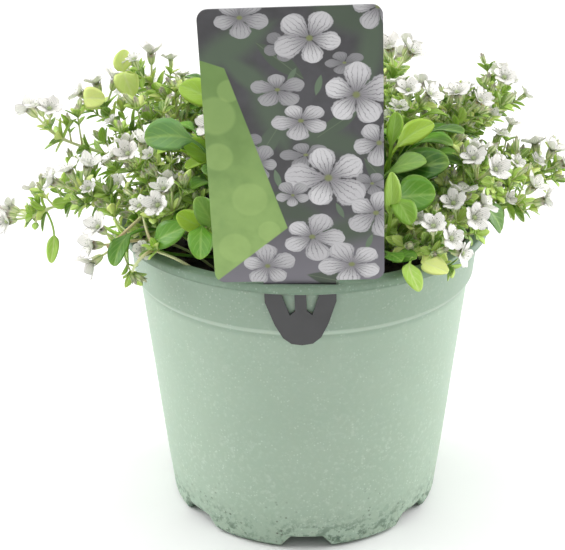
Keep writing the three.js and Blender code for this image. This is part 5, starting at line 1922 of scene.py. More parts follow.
    def build(self, finishes: Finishes) -> bpy.types.Object:
        """Builds the pot, and cuts the label's slot through its lip."""
        piece = Piece("pot_moulded", "pot", ["pot"], finishes)
        piece.add(self.shell())
        made = piece.build()
        depth = SHEET + 3 * LABEL_GAP
        corner = np.array([[-1, -1], [1, -1], [1, 1], [-1, 1]]) * [SLOT_HALF_WIDTH, depth / 2]
        corner = corner - [0, COLLAR_TOP_RADIUS + depth / 2]
        levels = (LIP_FOOT_Z - 0.5, POT_HEIGHT + 4)
        rings = np.stack([np.insert(corner, 2, level, axis=1) for level in levels])
        turned = rings @ np.array(Matrix.Rotation(LABEL_TURN, 3, "Z")).T
        cutter = Piece("slot_cutter", "pot", [], [])
        cutter.add(loft(turned[None], round_uv(2, 4), np.array([0.0]), 0))
        tool = cutter.build()
        cut = made.modifiers.new("slot", "BOOLEAN")
        cut.operation = "DIFFERENCE"
        cut.solver = "EXACT"
        cut.object = tool
        bpy.context.view_layer.update()
        finished = bpy.data.meshes.new_from_object(made.evaluated_get(bpy.context.evaluated_depsgraph_get()))
        made.modifiers.remove(cut)
        spent = [made.data, tool.data]
        made.data = finished
        bpy.data.objects.remove(tool)
        for mesh in spent:
            bpy.data.meshes.remove(mesh)
        finished.name = made.name
        return made


def soil_height(x: Array, y: Array) -> Array:
    """The height of the soil's uneven top: two crossing waves."""
    waves = np.sin(0.31 * x + 1.3) * np.cos(0.27 * y) + np.sin(0.17 * (x + y))
    return SOIL_TOP + SOIL_ROUGHNESS * (waves - 0.6)


@dataclass
class Soil:
    """The potting soil: a block in the pot with a crumbly top, and loose crumbs and fibres on it."""

    rim_radius: float = 54.7
    inmost_radius: float = 1.2
    side: Sequence[tuple[float, float]] = (
        (12, 6.4), (30, 6.4), (43.2, 6.4), (44.6, 8.0), (47.3, 30), (50.0, 56), (52.5, 81.3), (54.1, 83.4),
        (54.6, 88.5),
    )
    rings_over: int = 46
    columns: int = 150
    waves: int = 26
    longest_wave: float = 0.35
    wave_step: float = 1.13
    wave_height: float = 0.16
    crumbs: int = 1300
    crumb_reach: float = 54.0

    def block(self, rng: Rng) -> Patch:
        """The block: rings from the middle of its underside out, up the wall and over the top.

        The top is the two waves of the model plus short waves of many sizes and turns, which make its grain.
        """
        over = np.linspace(self.rim_radius, self.inmost_radius, self.rings_over)
        radius = np.concatenate([[row[0] for row in self.side], over])
        base = np.concatenate([[row[1] for row in self.side], np.full(self.rings_over, np.nan)])
        angle = angles(self.columns)
        x, y = radius[:, None] * np.cos(angle), radius[:, None] * np.sin(angle)
        top = soil_height(x, y)
        for k in range(self.waves):
            wave = self.longest_wave * self.wave_step**k
            turn, phase = TAU * rng.random(), TAU * rng.random()
            along = x * math.cos(turn) + y * math.sin(turn)
            top = top + self.wave_height / (1 + 0.12 * k) * np.sin(wave * along + phase)
        z = np.where(np.isnan(base)[:, None], top, base[:, None])
        rings = np.stack([x, y, z], axis=-1)
        return loft(rings[None], round_uv(len(radius), self.columns), np.array([0.3]), 0)

    def grains(self, rng: Rng) -> Patch:
        """Loose crumbs: squat lumps of four by six points, each stretched and turned by draws."""
        lots = self.crumbs
        reach = self.crumb_reach * np.sqrt(rng.random(lots))
        turn = TAU * rng.random(lots)
        x, y = reach * np.cos(turn), reach * np.sin(turn)
        size = 0.35 + 0.9 * rng.random(lots) ** 3
        centre = np.stack([x, y, soil_height(x, y) + 0.15 + 0.3 * size], axis=-1)
        latitude = np.array([-0.9, -0.3, 0.35, 0.9])
        angle = angles(6)
        radius = np.cos(latitude * 1.25)[None, :, None] * (0.75 + 0.5 * rng.random((lots, 4, 6)))
        local = np.stack([
            radius * np.cos(angle) * (0.8 + 0.9 * rng.random(lots))[:, None, None],
            radius * np.sin(angle),
            np.broadcast_to(np.sin(latitude * 1.25)[None, :, None], radius.shape) * 0.8,
        ], axis=-1) * size[:, None, None, None]
        spin = TAU * rng.random(lots)
        lean = 0.9 * (rng.random(lots) - 0.5)
        c, s, cl, sl = np.cos(spin), np.sin(spin), np.cos(lean), np.sin(lean)
        zero = np.zeros(lots)
        rotation = np.stack([
            np.stack(row, axis=-1) for row in ((c, -s, zero), (s * cl, c * cl, -sl), (s * sl, c * sl, cl))
        ], axis=1)
        rings = np.einsum("lij,lmnj->lmni", rotation, local) + centre[:, None, None]
        return loft(rings, round_uv(4, 6), rng.random(lots), 0)

    def build(self, finishes: Finishes) -> bpy.types.Object:
        """Builds the soil as one piece in place of its node."""
        rng = Seed.SOIL.draws()
        piece = Piece("soil_crumbled", "soil", ["soil"], finishes)
        piece.add(self.block(rng))
        piece.add(self.grains(rng))
        return piece.build()


# Finishes.

Tint = tuple[float, float, float, float]


def tint(red: float, green: float, blue: float) -> Tint:
    """A shader colour from the three numbers, 0 to 255, by which a colour is shown on a screen."""
    shown = (part / 255 for part in (red, green, blue))
    return (*(c / 12.92 if c <= 0.04045 else ((c + 0.055) / 1.055) ** 2.4 for c in shown), 1.0)


def sign(operation: str, swapped: bool = False) -> Callable:
    """The method by which a field is reckoned with, alone or with another value, by one operation.

    Args:
        operation: The operation of the math node.
        swapped: Whether the other value comes first.

    Returns:
        The method.
    """

    def reckon(own: "Field", *other: "Value") -> "Field":
        """The result of the operation."""
        values = (*other, own) if swapped else (own, *other)
        return own.tree.math(operation, *values)

    return reckon


class Field:
    """An output of a node, which can be reckoned with by the usual signs."""

    def __init__(self, tree: "Tree", socket: bpy.types.NodeSocket) -> None:
        """Takes the socket and the tree that new nodes go to."""
        self.tree, self.socket = tree, socket

    __add__ = __radd__ = sign("ADD")
    __mul__ = __rmul__ = sign("MULTIPLY")
    __sub__, __rsub__ = sign("SUBTRACT"), sign("SUBTRACT", swapped=True)
    __truediv__, __pow__, __abs__ = sign("DIVIDE"), sign("POWER"), sign("ABSOLUTE")
    sin, cos = sign("SINE"), sign("COSINE")

    def hypot(self, other: "Field") -> "Field":
        """The length of the two as the sides of a right angle."""
        return self.tree.math("SQRT", self * self + other * other)

    def span(self, low: "Value", high: "Value", to_low: float = 0.0, to_high: float = 1.0) -> "Field":
        """The value carried from one range to another by a smooth step."""
        values = (self, low, high, to_low, to_high)
        return self.tree.add("ShaderNodeMapRange", values, interpolation_type="SMOOTHSTEP")[0]


Value = float | Field


class Tree:
    """A node tree with short ways to add nodes and to link them."""

    def __init__(self, tree: bpy.types.NodeTree) -> None:
        """Takes the tree that nodes are added to."""
        self.tree = tree

    def feed(self, target: bpy.types.NodeSocket, value: object) -> None:
        """Links a socket to a field, or sets its value."""
        if isinstance(value, Field):
            self.tree.links.new(value.socket, target)
        else:
            target.default_value = value

    def add(self, kind: str, values: Sequence | dict = (), **settings: object) -> list[Field]:
        """Adds a node.

        Args:
            kind: The kind of node.
            values: Its inputs, by name, or as many as are given in their order.
            settings: Its other settings.

        Returns:
            Its outputs.
        """
        made = self.tree.nodes.new(kind)
        for name, value in settings.items():
            setattr(made, name, value)
        for key, value in values.items() if isinstance(values, dict) else enumerate(values):
            self.feed(made.inputs[key], value)
        return [Field(self, socket) for socket in made.outputs]

    def math(self, operation: str, *values: Value) -> Field:
        """The result of a sum."""
        return self.add("ShaderNodeMath", values, operation=operation)[0]

    def layers(self, first: Tint | Field, *rest: tuple[Value, Tint | Field]) -> Field:
        """A colour with others laid over it in turn, each by its share."""
        for share, colour in rest:
            first = self.add("ShaderNodeMix", {0: share, 6: first, 7: colour}, data_type="RGBA")[2]
        return first

    def noise(self, where: Field, scale: Value, detail: float = 2.0, roughness: float = 0.5) -> Field:
        """Soft noise at a scale in turns per metre."""
        values = {"Vector": where, "Scale": scale, "Detail": detail, "Roughness": roughness}
        return self.add("ShaderNodeTexNoise", values)[0]

    def place(self) -> Field:
        """The place on the object, in metres."""
        return self.add("ShaderNodeTexCoord")[3]

    def parts(self, place: Field) -> list[Field]:
        """The three parts of a place."""
        return self.add("ShaderNodeSeparateXYZ", [place])

    def uv(self) -> list[Field]:
        """The coordinates of the piece's own map."""
        return self.parts(self.add("ShaderNodeTexCoord")[2])[:2]

    def tone(self) -> Field:
        """The number that each blade, petal or crumb carries."""
        return self.add("ShaderNodeAttribute", attribute_name="tone")[2]

    def group(self, group: bpy.types.NodeTree, **values: object) -> list[Field]:
        """Places a group and feeds its inputs by name."""
        return self.add("ShaderNodeGroup", values, node_tree=group)


FLOAT, COLOUR, VECTOR = "NodeSocketFloat", "NodeSocketColor", "NodeSocketVector"


class Group(Tree):
    """A shader node group in the making."""

    def __init__(self, name: str, inputs: dict[str, float | str], outputs: dict[str, str]) -> None:
        """Starts the group.

        Args:
            name: Its name.
            inputs: The value of each number, or the kind of any other input.
            outputs: The kind of each output.
        """
        super().__init__(bpy.data.node_groups.new(name, "ShaderNodeTree"))
        for title, value in inputs.items():
            kind = value if isinstance(value, str) else FLOAT
            made = self.tree.interface.new_socket(title, in_out="INPUT", socket_type=kind)
            if kind == FLOAT:
                made.default_value = value
        for title, kind in outputs.items():
            self.tree.interface.new_socket(title, in_out="OUTPUT", socket_type=kind)
        self.inputs = self.add("NodeGroupInput")[:-1]
        self.end = self.tree.nodes.new("NodeGroupOutput")

    def close(self, *values: Field) -> bpy.types.NodeTree:
        """Links the outputs, in their order, and gives the group."""
        for target, value in zip(self.end.inputs, values):
            self.feed(target, value)
        return self.tree


def mottle_group() -> bpy.types.NodeTree:
    """Two noises of unlike size on the object's own coordinates, as a mask of soft blots."""
    tree = Group("soft_mottle", {"Coarse": 100.0, "Fine": 600.0}, {"Mask": FLOAT})
    coarse, fine = (tree.noise(tree.place(), scale, 3.0) for scale in tree.inputs)
    return tree.close((coarse * 0.65 + fine * 0.35).span(0.34, 0.66))


def relief_group() -> bpy.types.NodeTree:
    """A fine uneven surface: noise on the object's own coordinates, as a height in a bump."""
    inputs = {"Scale": 800.0, "Strength": 0.2, "Depth": 0.0002, "Height": 0.0}
    tree = Group("fine_relief", inputs, {"Normal": VECTOR})
    scale, strength, depth, height = tree.inputs
    values = {"Strength": strength, "Distance": depth}
    values["Height"] = tree.noise(tree.place(), scale, 4.0) + height
    return tree.close(tree.add("ShaderNodeBump", values)[0])


def vein_group() -> bpy.types.NodeTree:
    """The veins of a leaf on its own map: a midrib, and side veins that leave it at a slant.

    The midrib is a narrow band round the middle line. The side veins are the crests of a sine of the place
    along the leaf less a share of the distance from the middle line, thin, and faded towards the edge.
    """
    tree = Group("leaf_veins", {"Pairs": 6.0, "Slant": 0.5}, {"Midrib": FLOAT, "Side": FLOAT})
    pairs, slant = tree.inputs
    u, v = tree.uv()
    off = abs(u * 2.0 - 1.0)
    wave = ((v - off * slant * 0.3) * pairs * TAU).sin()
    return tree.close(off.span(0.02, 0.16, 1.0, 0.0), wave.span(0.55, 1.0) * off.span(0.5, 1.0, 1.0, 0.0))


def specks_group() -> bpy.types.NodeTree:
    """Specks of soil and pale flecks: cells of a fine grid of points, kept where a coarser noise is high."""
    tree = Group("specks", {"Scale": 900.0, "Size": 0.2, "Patches": 60.0, "Share": 0.5}, {"Mask": FLOAT})
    scale, size, patches, share = tree.inputs
    where = tree.place()
    distance, colour, *_ = tree.add("ShaderNodeTexVoronoi", {"Vector": where, "Scale": scale})
    kept = tree.math("LESS_THAN", tree.add("ShaderNodeSeparateColor", [colour])[0], share)
    return tree.close(distance.span(size, size * 0.4) * kept * tree.noise(where, patches).span(0.42, 0.6))


# Each printed motif passes its height on with this trace of its mask, so that the next waits for it. Without
# that, the renderer works all of them out at once and runs out of room.
TRACE = 1e-5


def printed_flower_group() -> bpy.types.NodeTree:
    """A printed five-petal flower laid over a picture.

    The place less the flower's centre is turned to the nearest petal's own frame, along and across it. A
    petal is widest beyond its middle: half its width is the root of the sine of pi times the place along it
    to the power 1.75. Each petal has its own length, and its edge is ruffled by noise. Inside it come grey
    veins, which fan out with the share of the width, a shade towards the foot, and a yellow-green heart.
    """
    inputs = {
        "Under": COLOUR, "Across": 0.0, "Up": 0.0, "Ruffle": 0.0, "Wander": 0.0, "X": 0.0, "Z": 0.0,
        "Radius": 8.0, "Turn": 0.0, "Squash": 1.0, "Light": 1.0,
    }
    tree = Group("printed_flower", inputs, {"Colour": COLOUR, "Next": FLOAT})
    under, across, up, ruffle, wander, x, z, radius, turn, squash, light = tree.inputs
    dx, dz = across - x, (up - z) / squash
    reach = dx.hypot(dz)
    angle = tree.math("ARCTAN2", dz, dx) + turn
    number = tree.math("ROUND", angle * (PETALS / TAU))
    own = angle - number * (TAU / PETALS)
    folded = tree.math("MODULO", number + 10.0, float(PETALS))
    chance = tree.add("ShaderNodeTexWhiteNoise", {"W": folded + x * 1.7}, noise_dimensions="1D")[0]
    length = radius * (chance * 0.24 + 0.8)
    along, across = reach * own.cos() / length, reach * own.sin() / length
    held = tree.math("MINIMUM", tree.math("MAXIMUM", along, 0.0), 1.0)
    bow = tree.math("MAXIMUM", (held**1.75 * math.pi).sin(), 0.0)
    half = bow**0.62 * 0.37 + 0.02
    inside = (half + ruffle - abs(across)).span(-0.005, 0.045) * along.span(0.97, 1.02, 1.0, 0.0)
    share = across / half
    fan = abs(((share + wander) * 8.6).sin())
    petal = tree.layers(
        tint(118, 116, 120),
        (along.span(0.05, 0.7), tint(216, 215, 217)),
        (abs(share).span(0.6, 1.0, 0.0, 0.55), tint(134, 132, 137)),
        (chance * 0.4, tint(158, 156, 160)),
        (fan.span(0.0, 0.45, 1.0, 0.0) * along.span(0.35, 1.0, 0.9, 0.2), tint(92, 89, 96)),
    )
    lit = tree.layers(tint(100, 100, 103), (light, petal))
    heart = (reach / radius).span(0.05, 0.13, 1.0, 0.0)
    colour = tree.layers(under, (inside, lit), (heart, tint(120, 128, 76)))
    return tree.close(colour, up + inside * TRACE)


def printed_leaf_group() -> bpy.types.NodeTree:
    """A printed leaf laid over a picture: a pointed oval, sharp with a lighter midrib, or blurred."""
    inputs = {
        "Under": COLOUR, "Across": 0.0, "Up": 0.0, "X": 0.0, "Z": 0.0, "Length": 8.0, "Turn": 0.0,
        "Soft": 0.03, "Shade": COLOUR,
    }
    tree = Group("printed_leaf", inputs, {"Colour": COLOUR, "Next": FLOAT})
    under, across, up, x, z, length, turn, soft, shade = tree.inputs
    dx, dz = across - x, up - z
    along = (dx * turn.cos() + dz * turn.sin()) / length
    across = abs(dz * turn.cos() - dx * turn.sin()) / length
    inside = (((1.0 - along * along) * 0.3 - across) / soft).span(-1.0, 1.0)
    rib = across.span(0.0, 0.03, 0.4, 0.0) * soft.span(0.03, 0.1, 1.0, 0.0)
    green = tree.layers(shade, (rib, tint(112, 132, 96)))
    return tree.close(tree.layers(under, (inside, green)), up + inside * TRACE)


@dataclass
class Groups:
    """The shared effects, each built once."""

    mottle: bpy.types.NodeTree = field(default_factory=mottle_group)
    relief: bpy.types.NodeTree = field(default_factory=relief_group)
    veins: bpy.types.NodeTree = field(default_factory=vein_group)
    specks: bpy.types.NodeTree = field(default_factory=specks_group)
    flower: bpy.types.NodeTree = field(default_factory=printed_flower_group)
    leaf: bpy.types.NodeTree = field(default_factory=printed_leaf_group)


@dataclass(frozen=True)
class Finish:
    """A finish: blots that change its colour and roughness, a fine relief, and fixed values of its shader."""

    name: str
    blot_scales: ClassVar[tuple[float, float]] = (180.0, 900.0)
    relief: ClassVar[tuple[float, float, float]] = (1500.0, 0.3, 0.0001)
    rough: ClassVar[tuple[float, float]] = (0.5, 0.7)
    fixed: ClassVar[dict[str, object]] = {}

    def paint(self, tree: Tree, groups: Groups, blots: Field) -> tuple[Field, Value]:
        """The colour over the surface, and a height that its relief is raised by."""
        raise NotImplementedError

    def build(self, groups: Groups) -> bpy.types.Material:
        """Builds the material.

        Args:
            groups: The shared effects.

        Returns:
            The material, with colour, roughness and normal from its nodes.
        """
        made = bpy.data.materials.new(self.name)
        made.use_nodes = True
        tree = Tree(made.node_tree)
        sockets = made.node_tree.nodes["Principled BSDF"].inputs
        coarse, fine = self.blot_scales
        blots = tree.group(groups.mottle, Coarse=coarse, Fine=fine)[0]
        colour, height = self.paint(tree, groups, blots)
        relief = dict(zip(("Scale", "Strength", "Depth"), self.relief))
        tree.feed(sockets["Base Color"], colour)
        tree.feed(sockets["Roughness"], blots.span(0.0, 1.0, *self.rough))
        tree.feed(sockets["Normal"], tree.group(groups.relief, Height=height, **relief)[0])
        for title, value in self.fixed.items():
            sockets[title].default_value = value
        return made


@dataclass(frozen=True)
class LeafFinish(Finish):
    """A soft, hairy leaf: greens that change from blade to blade, a pale midrib, and veins in relief."""

    dark: Tint
    middle: Tint
    young: Tint
    rib: Tint
    bluish: Tint
    pairs: float
    share: float
    relief = (1400.0, 0.35, 0.00015)
    rough = (0.36, 0.52)
    fixed = {
        "Sheen Weight": 0.12, "Sheen Roughness": 0.4, "Sheen Tint": tint(225, 235, 215),
        "Subsurface Weight": 0.12, "Subsurface Radius": (0.6, 1.0, 0.25), "Subsurface Scale": 0.0012,
        "Specular IOR Level": 0.4,
    }

    def paint(self, tree: Tree, groups: Groups, blots: Field) -> tuple[Field, Value]:
        """The greens by the blade's tone, younger in blots and towards the tip, with veins."""
        tone, (_, v) = tree.tone(), tree.uv()
        midrib, side = tree.group(groups.veins, Pairs=self.pairs, Slant=2.0)
        colour = tree.layers(
            self.dark,
            (tone.span(0.0, 0.55), self.middle),
            (tone.span(0.62, 1.0), self.young),
            (tone.span(1.05, 1.45), self.bluish),
            (blots * self.share, self.young),
            (v.span(0.75, 1.0, 0.0, 0.25), self.young),
            (side * 0.2, self.rib),
            (midrib * 0.42, self.rib),
        )
        return colour, midrib * -0.9 - side * 0.5


@dataclass(frozen=True)
class StalkFinish(Finish):
    """A thin smooth stem: tan and brown at the foot, pale green towards its tip, flushed in blots."""

    old: Tint
    fresh: Tint
    flush: Tint
    blot_scales = (120.0, 700.0)
    relief = (1800.0, 0.3, 0.0001)
    rough = (0.42, 0.6)
    fixed = {"Sheen Weight": 0.2}

    def paint(self, tree: Tree, groups: Groups, blots: Field) -> tuple[Field, Value]:
        """From old to fresh along the stem."""
        age = tree.uv()[1] + tree.tone() * 0.55
        return tree.layers(self.old, (age.span(0.35, 1.0), self.fresh), (blots * 0.35, self.flush)), 0.0


@dataclass(frozen=True)
class CupFinish(Finish):
    """A calyx or bud: green ribs and teeth, paler between, and grey-lilac towards the closed petals' tips."""

    rib: Tint
    skin: Tint
    lilac: Tint
    blot_scales = (300.0, 1200.0)
    relief = (2200.0, 0.4, 0.0001)
    fixed = {"Sheen Weight": 0.3, "Subsurface Weight": 0.1, "Subsurface Scale": 0.001}

    def paint(self, tree: Tree, groups: Groups, blots: Field) -> tuple[Field, Value]:
        """Ribs by the map's saw round the cup, lilac by the height."""
        u, v = tree.uv()
        lilac = v.span(0.62, 1.0) * (tree.tone() * 0.5 + 0.4)
        pale = (u.span(0.1, 0.8), self.skin)
        return tree.layers(self.rib, pale, (lilac, self.lilac), (blots * 0.25, self.skin)), u * -0.8


@dataclass(frozen=True)
class PetalFinish(Finish):
    """A white petal with fine grey-lilac veins that fan out from its foot; tired ones turn grey and pink."""

    white: Tint
    cloud: Tint
    vein: Tint
    foot: Tint
    tired: Tint
    blot_scales = (260.0, 1500.0)
    relief = (1500.0, 0.25, 0.0001)
    rough = (0.5, 0.64)
    fixed = {
        "Sheen Weight": 0.15, "Subsurface Weight": 0.2, "Subsurface Radius": (1.0, 0.95, 0.9),
        "Subsurface Scale": 0.0012,
    }

    def paint(self, tree: Tree, groups: Groups, blots: Field) -> tuple[Field, Value]:
        """Veins where a sine of the place across is near nothing, closer together towards the foot."""
        u, v = tree.uv()
        off = u * 2.0 - 1.0
        wave = abs((off / (1.15 - v * 0.35) * 10.4).sin())
        line = wave.span(0.0, 0.42, 1.0, 0.0) * v.span(0.5, 0.98, 1.0, 0.3)
        vein = line * abs(off).span(0.6, 1.0, 1.0, 0.0) * 0.72
        colour = tree.layers(
            self.white,
            (blots * 0.3, self.cloud),
            (v.span(0.1, 0.55, 0.9, 0.0), self.foot),
            (vein, self.vein),
            (tree.tone().span(0.1, 1.0, 0.0, 0.85), self.tired),
        )
        return colour, vein * -1.2


@dataclass(frozen=True)
class HeartFinish(Finish):
    """The middle of a flower: a green knob and pale threads with grey-green ends."""

    knob: Tint
    thread: Tint
    anther: Tint
    blot_scales = (500.0, 2500.0)
    relief = (3000.0, 0.4, 0.0001)

    def paint(self, tree: Tree, groups: Groups, blots: Field) -> tuple[Field, Value]:
        """The knob or a thread by the tone, and a thread's end by the place along it."""
        end = tree.layers(self.thread, (tree.uv()[1].span(0.6, 0.8), self.anther))
        return tree.layers(self.knob, (tree.tone().span(0.3, 0.7), end), (blots * 0.3, self.thread)), 0.0


@dataclass(frozen=True)
class PotFinish(Finish):
    """Soft sage plastic: faint cloud, pale flecks and grain, stains and soil specks low on the wall, painted
    shade inside and round the lip, and a painted highlight line.
    """

    sage: Tint
    light: Tint
    # Darker sage for the painted shade on the lip band.
    lip: Tint
    # Darker sage for the painted shade on the inner side, on the collar and just under the lip.
    inside: Tint
    # Pale sage for the flecks and grain, and for the painted highlight line at the collar's foot.
    fleck_and_highlight: Tint
    stain: Tint
    soil: Tint
    blot_scales = (45.0, 500.0)
    relief = (900.0, 0.12, 0.00015)
    rough = (0.44, 0.54)
    fixed = {"Specular IOR Level": 0.4, "Subsurface Weight": 0.06, "Subsurface Scale": 0.002}

    def paint(self, tree: Tree, groups: Groups, blots: Field) -> tuple[Field, Value]:
        """Painted shade and a painted highlight in bands by the height in metres, painted shade on the inner
        side by the distance from the axis, and dirt low down.
        """
        place = tree.place()
        x, y, z = tree.parts(place)
        # Painted shade on the inner side of the pot: a mask of what lies nearer the axis than a slanting
        # line.
        inner_shade = (z * 0.096 + 0.0452 - x.hypot(y)).span(-0.0002, 0.0002)
        # Painted highlight: a pale line at the collar's foot.
        shoulder_highlight = z.span(0.0814, 0.082) * z.span(0.0832, 0.0838, 1.0, 0.0)
        # Painted shadow: a dark band just under the lip.
        shadow_under_lip = z.span(0.0952, 0.0962) * z.span(0.0975, 0.098, 1.0, 0.0)
        grain = tree.noise(place, 650.0, 5.0, 0.65).span(0.5, 0.68)
        grain = grain * tree.noise(place, 55.0).span(0.35, 0.65, 0.35, 1.0)
        flecks = tree.group(groups.specks, Scale=1000.0, Size=0.36, Patches=160.0, Share=0.5)[0]
        smear = tree.noise(place, 420.0, 6.0, 0.7).span(0.46, 0.6) * blots.span(0.1, 0.6, 0.45, 1.0)
        dirt = tree.group(groups.specks, Scale=600.0, Size=0.34, Patches=90.0, Share=0.4)[0]
        return tree.layers(
            self.sage,
            (blots * 0.5, self.light),
            # Painted shade: the lip band darker.
            (z.span(0.0965, 0.0975, 0.0, 0.8), self.lip),
            # Painted shade: the inner side darker.
            (inner_shade * 0.8, self.inside),
            # Painted shade: the collar darker, from 79 mm up.
            (z.span(0.079, 0.0815, 0.0, 0.32), self.inside),
            # Painted highlight: the pale line at the collar's foot.
            (shoulder_highlight * 0.2, self.fleck_and_highlight),
            # Painted shadow: the band under the lip darker.
            (shadow_under_lip * 0.55, self.inside),
            (grain * z.span(0.02, 0.085, 0.22, 0.08), self.fleck_and_highlight),
            (flecks * z.span(0.01, 0.09, 0.36, 0.2), self.fleck_and_highlight),
            (smear * z.span(0.0, 0.017, 0.9, 0.0), self.stain),
            (dirt * z.span(0.0, 0.03, 0.75, 0.0), self.soil),
        ), 0.0


@dataclass(frozen=True)
class SoilFinish(Finish):
    """Moist peat: near-black crumbs, some warmer and some pale with fibre."""

    wet: Tint
    crumb: Tint
    fibre: Tint
    blot_scales = (400.0, 1600.0)
    relief = (1500.0, 0.8, 0.0005)
    rough = (0.72, 0.95)

    def paint(self, tree: Tree, groups: Groups, blots: Field) -> tuple[Field, Value]:
        """Wet and dry by blots, and fibre by the crumb's tone."""
        fibre = tree.tone().span(0.86, 1.0, 0.0, 0.8)
        return tree.layers(self.wet, (blots, self.crumb), (fibre, self.fibre)), 0.0


# Flowers: across, up, radius, turn, squash and light. Leaves: across, up, length, turn, blur and shade.
PRINTED_FLOWERS = (
    (-13, 82, 9.0, 0.3, 0.75, 0.6), (23, 84, 9.0, 0.8, 0.9, 0.7), (3, 43, 8.0, 1.9, 0.6, 0.3),
    (-4, 62, 8.5, 0.9, 0.7, 0.5), (14, 69, 6.5, 0.6, 0.6, 0.25), (-2, 74, 6.0, 1.5, 0.8, 0.2),
    (21, 34, 6.5, 0.1, 0.7, 0.3), (-14, 47, 6.0, 0.9, 0.8, 0.25), (5, 76, 11.0, 0.2, 0.85, 0.95),
    (17, 60, 12.0, 1.0, 0.95, 1.0), (23, 46, 9.5, 0.4, 0.9, 0.75), (-10, 41, 7.0, 0.2, 0.9, 0.45),
    (2, 53, 9.5, 0.5, 0.7, 0.85), (9, 36, 13.0, 0.7, 0.92, 1.0), (22, 25, 10.0, 1.2, 0.85, 0.85),
    (4, 18, 10.5, 0.1, 0.8, 0.9), (-9, 9, 9.0, 0.9, 0.85, 0.8), (15, 9, 11.0, 0.5, 0.75, 0.95),
    (-1, 31, 6.0, 0.4, 0.8, 0.6),
)
PRINTED_LEAVES = (
    (-16, 74, 13, 0.5, 0.2, 1.0), (14, 82, 12, 2.6, 0.2, 0.7), (-6, 56, 13, 1.9, 0.22, 0.9),
    (10, 47, 12, -0.3, 0.2, 0.8), (21, 72, 11, 1.4, 0.2, 0.9), (-4, 27, 13, 2.8, 0.2, 0.6),
    (15, 20, 12, 0.2, 0.22, 0.7), (-12, 66, 9, 2.4, 0.12, 1.0), (-3, 70, 8, -0.7, 0.03, 0.7),
    (12, 52, 7, 0.6, 0.03, 0.8), (23, 36, 7, 2.2, 0.04, 0.7), (-7, 47, 8, 1.0, 0.04, 0.9),
    (10, 4, 8, 2.9, 0.04, 0.6), (-8, 30, 6, 0.3, 0.03, 0.6), (7, 63, 3, 1.3, 0.05, 1.6),
    (-5, 36, 3, 1.8, 0.05, 1.6), (20, 16, 2.6, 1.2, 0.05, 1.6), (12, 26, 2.6, 2.0, 0.05, 1.4),
    (0, 66, 2.4, 1.0, 0.05, 1.5),
)
# Soft round blots on the wedge: across, up, radius.
WEDGE_BLOTS = ((-21, 43, 4.5), (-21, 55, 6.0), (-13, 30, 5.5), (-18, 15, 5.0), (-8, 20, 3.5), (-17, 62, 3.5))


